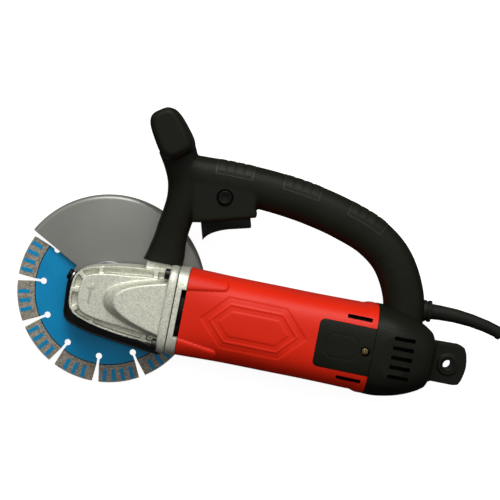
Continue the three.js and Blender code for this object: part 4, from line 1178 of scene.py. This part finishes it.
trigger_outline = [(0.5, -8), *arc_through((0.7, 17.2), (6, 9.6), (26, 8.9), 16), (46, 9.4),
                   *arc_through((46.4, 9.4), (47.9, 9.3), (47.9, 7.6), 5), (47.9, -8)]
trigger = scene_object("trigger_lever", [by_trigger(plate(trigger_outline, -9, 9))])
bevelled(trigger, 0.9, 35, 3)
finished(trigger, plain_black, "trigger", ["trigger"], 40)

lock = scene_object("lock_button_drum", [turned(
    [(0, 13.6), (6.5, 13.6), (6.5, 20.4), (6.2, 21.1), (5.5, 21.4), (4.9, 21.3), (3, 20.95), (0, 20.8)],
    64, LOCK_BUTTON)])
finished(lock, plain_black, "lock_button", ["lock_button"], 40)

# %% [markdown]
# ## Strain relief and plug
# The rubber strain relief has a thick collar at the handle, then tapers along the lead to a small lip.

# %% Strain relief
relief_path = [(300.6, 44.8), (309, 45.4), (322, 46), (336, 45.6), (348, 44.4), (359, 42.6), (368, 40.6),
               (378.6, 37.4)]
relief_radii = [(0, 10.2), (0.012, 10.4), (0.035, 10.4), (0.04, 9.4), (0.055, 9.4), (0.06, 10.3),
                (0.09, 10.3), (0.1, 9.9), (0.104, 7.5), (0.2, 7.15), (0.4, 6.7), (0.6, 6.25),
                (0.8, 5.95), (0.95, 5.8), (0.957, 6.4), (0.99, 6.5), (1, 6.1)]
relief = scene_object("cable_sleeve", [lofted([
    limb_ring(relief_path, [(0, r, r), (1, r, r)], t, 2, 48)[0] for t, r in relief_radii])])
finished(relief, rubber, "machine", ["strain_relief"], 35)

# %% Plug
PLUG_AT = (567.5, 131, -40)
plug_stops = [(0, 6.5, 6.5), (6, 6.9, 6.9), (13, 8, 8), (16, 11.5, 9.6), (19, 16, 11.3),
              (24, 17.8, 12), (31, 18, 12), (38, 17.8, 12), (40, 16.6, 11)]
plug_rings = []
for y in np.linspace(0, 40, 41):
    section = oval(*through(plug_stops, y), 2.6, 64)
    plug_rings.append(np.column_stack([PLUG_AT[0] + section[:, 0], np.full(64, PLUG_AT[1] + y),
                                       PLUG_AT[2] + section[:, 1]]))
plug = scene_object("mains_plug", [lofted(plug_rings)])
finished(plug, plain_black, "machine", ["plug"], 40)

# %% [markdown]

# %% [markdown]
# ## Pieces kept from the model
# The parts inside, the screws and the pins keep the model's own solids. Each gets the finish of what
# it is made of.

# %% Finish the pieces inside
inside = {
    laminated: ["stator_core", "armature_core"],
    bright: ["spindle", "crown_gear", "spindle_bearing_lower", "spindle_bearing_upper",
             "armature_shaft", "pinion_gear", "front_bearing", "rear_bearing", "plug_pin_1",
             "plug_pin_2"],
    blacked: ["guard_clamp_screw", "handle_screw_1", "handle_screw_2", "handle_screw_3", "handle_screw_4",
              "foot_bolt_1", "foot_bolt_2"],
    copper: ["field_winding_upper", "field_winding_lower", "commutator"],
    brass_plate: ["brush_holder_near", "brush_holder_far"],
    carbon: ["carbon_brush_near", "carbon_brush_far"],
    plain_black: ["cooling_fan", "air_baffle", "switch_body"],
}
for material, names in inside.items():
    for name in names:
        node = frame["nodes"][name]
        node.data.materials.clear()
        node.data.materials.append(material)
print("kept", sum(len(names) for names in inside.values()), "pieces of the model")

# %% [markdown]
# ## Floor and light
# The machine lies on a plain white sheet. One broad lamp stands on the handle's side and high, so that
# the top of the barrel is light and its lower side falls off; a second, weaker one fills from above.
# The sky is a pale ring: dark at the horizon and straight up, so that black faces stay black while
# their rounded edges catch the light. It is also darker on the side away from the key lamp.

# %% Floor
sheet = finish("white_sheet", Base_Color=colour("#a0a0a0"), Roughness=0.9, Emission_Color=grey(1),
               Emission_Strength=0.9)[0]
floor = bpy.data.objects.new("floor", bpy.data.meshes.new("floor"))
bpy.context.scene.collection.objects.link(floor)
REACH = 6
floor.data.from_pydata([(-REACH, -REACH, -0.0004), (REACH, -REACH, -0.0004), (REACH, REACH, -0.0004),
                        (-REACH, REACH, -0.0004)], [], [(0, 1, 2, 3)])
floor.data.materials.append(sheet)
floor.visible_diffuse = False
floor.visible_glossy = False

# %% Lamps and sky
def lamp(name, power, wide, position, aim=(0, 0, 0.05)):
    light = bpy.data.lights.new(name, "AREA")
    light.energy = power
    light.shape = "DISK"
    light.size = wide
    thing = bpy.data.objects.new(name, light)
    bpy.context.scene.collection.objects.link(thing)
    thing.location = position
    thing.rotation_euler = (Vector(aim) - Vector(position)).to_track_quat("-Z", "Y").to_euler()
    return thing


lamp("key_lamp", 34, 1.3, (-0.3, 1.6, 1.3))
lamp("top_lamp", 6, 1.2, (0.1, 0.5, 2.0))
sky = bpy.data.worlds.new("white_sky")
sky.use_nodes = True
backdrop = sky.node_tree.nodes["Background"]
direction = add(sky, "ShaderNodeTexCoord").outputs["Generated"]
way = add(sky, "ShaderNodeSeparateXYZ", {"Vector": direction}).outputs
ring = add(sky, "ShaderNodeValToRGB", {"Fac": way["Z"]})
ring.color_ramp.elements[0].color = grey(0.08)
ring.color_ramp.elements[1].position, ring.color_ramp.elements[1].color = 0.95, grey(0.3)
for place in (0.35, 0.72):
    ring.color_ramp.elements.new(place).color = grey(1.0)
lit_side = add(sky, "ShaderNodeMapRange", {"Value": way["Y"], "From Min": -0.7, "From Max": 0.7,
                                           "To Min": 0.15, "To Max": 1.1}).outputs["Result"]
sky.node_tree.links.new(ring.outputs["Color"], backdrop.inputs["Color"])
sky.node_tree.links.new(lit_side, backdrop.inputs["Strength"])
bpy.context.scene.world = sky
bpy.context.scene.view_settings.view_transform = "Standard"
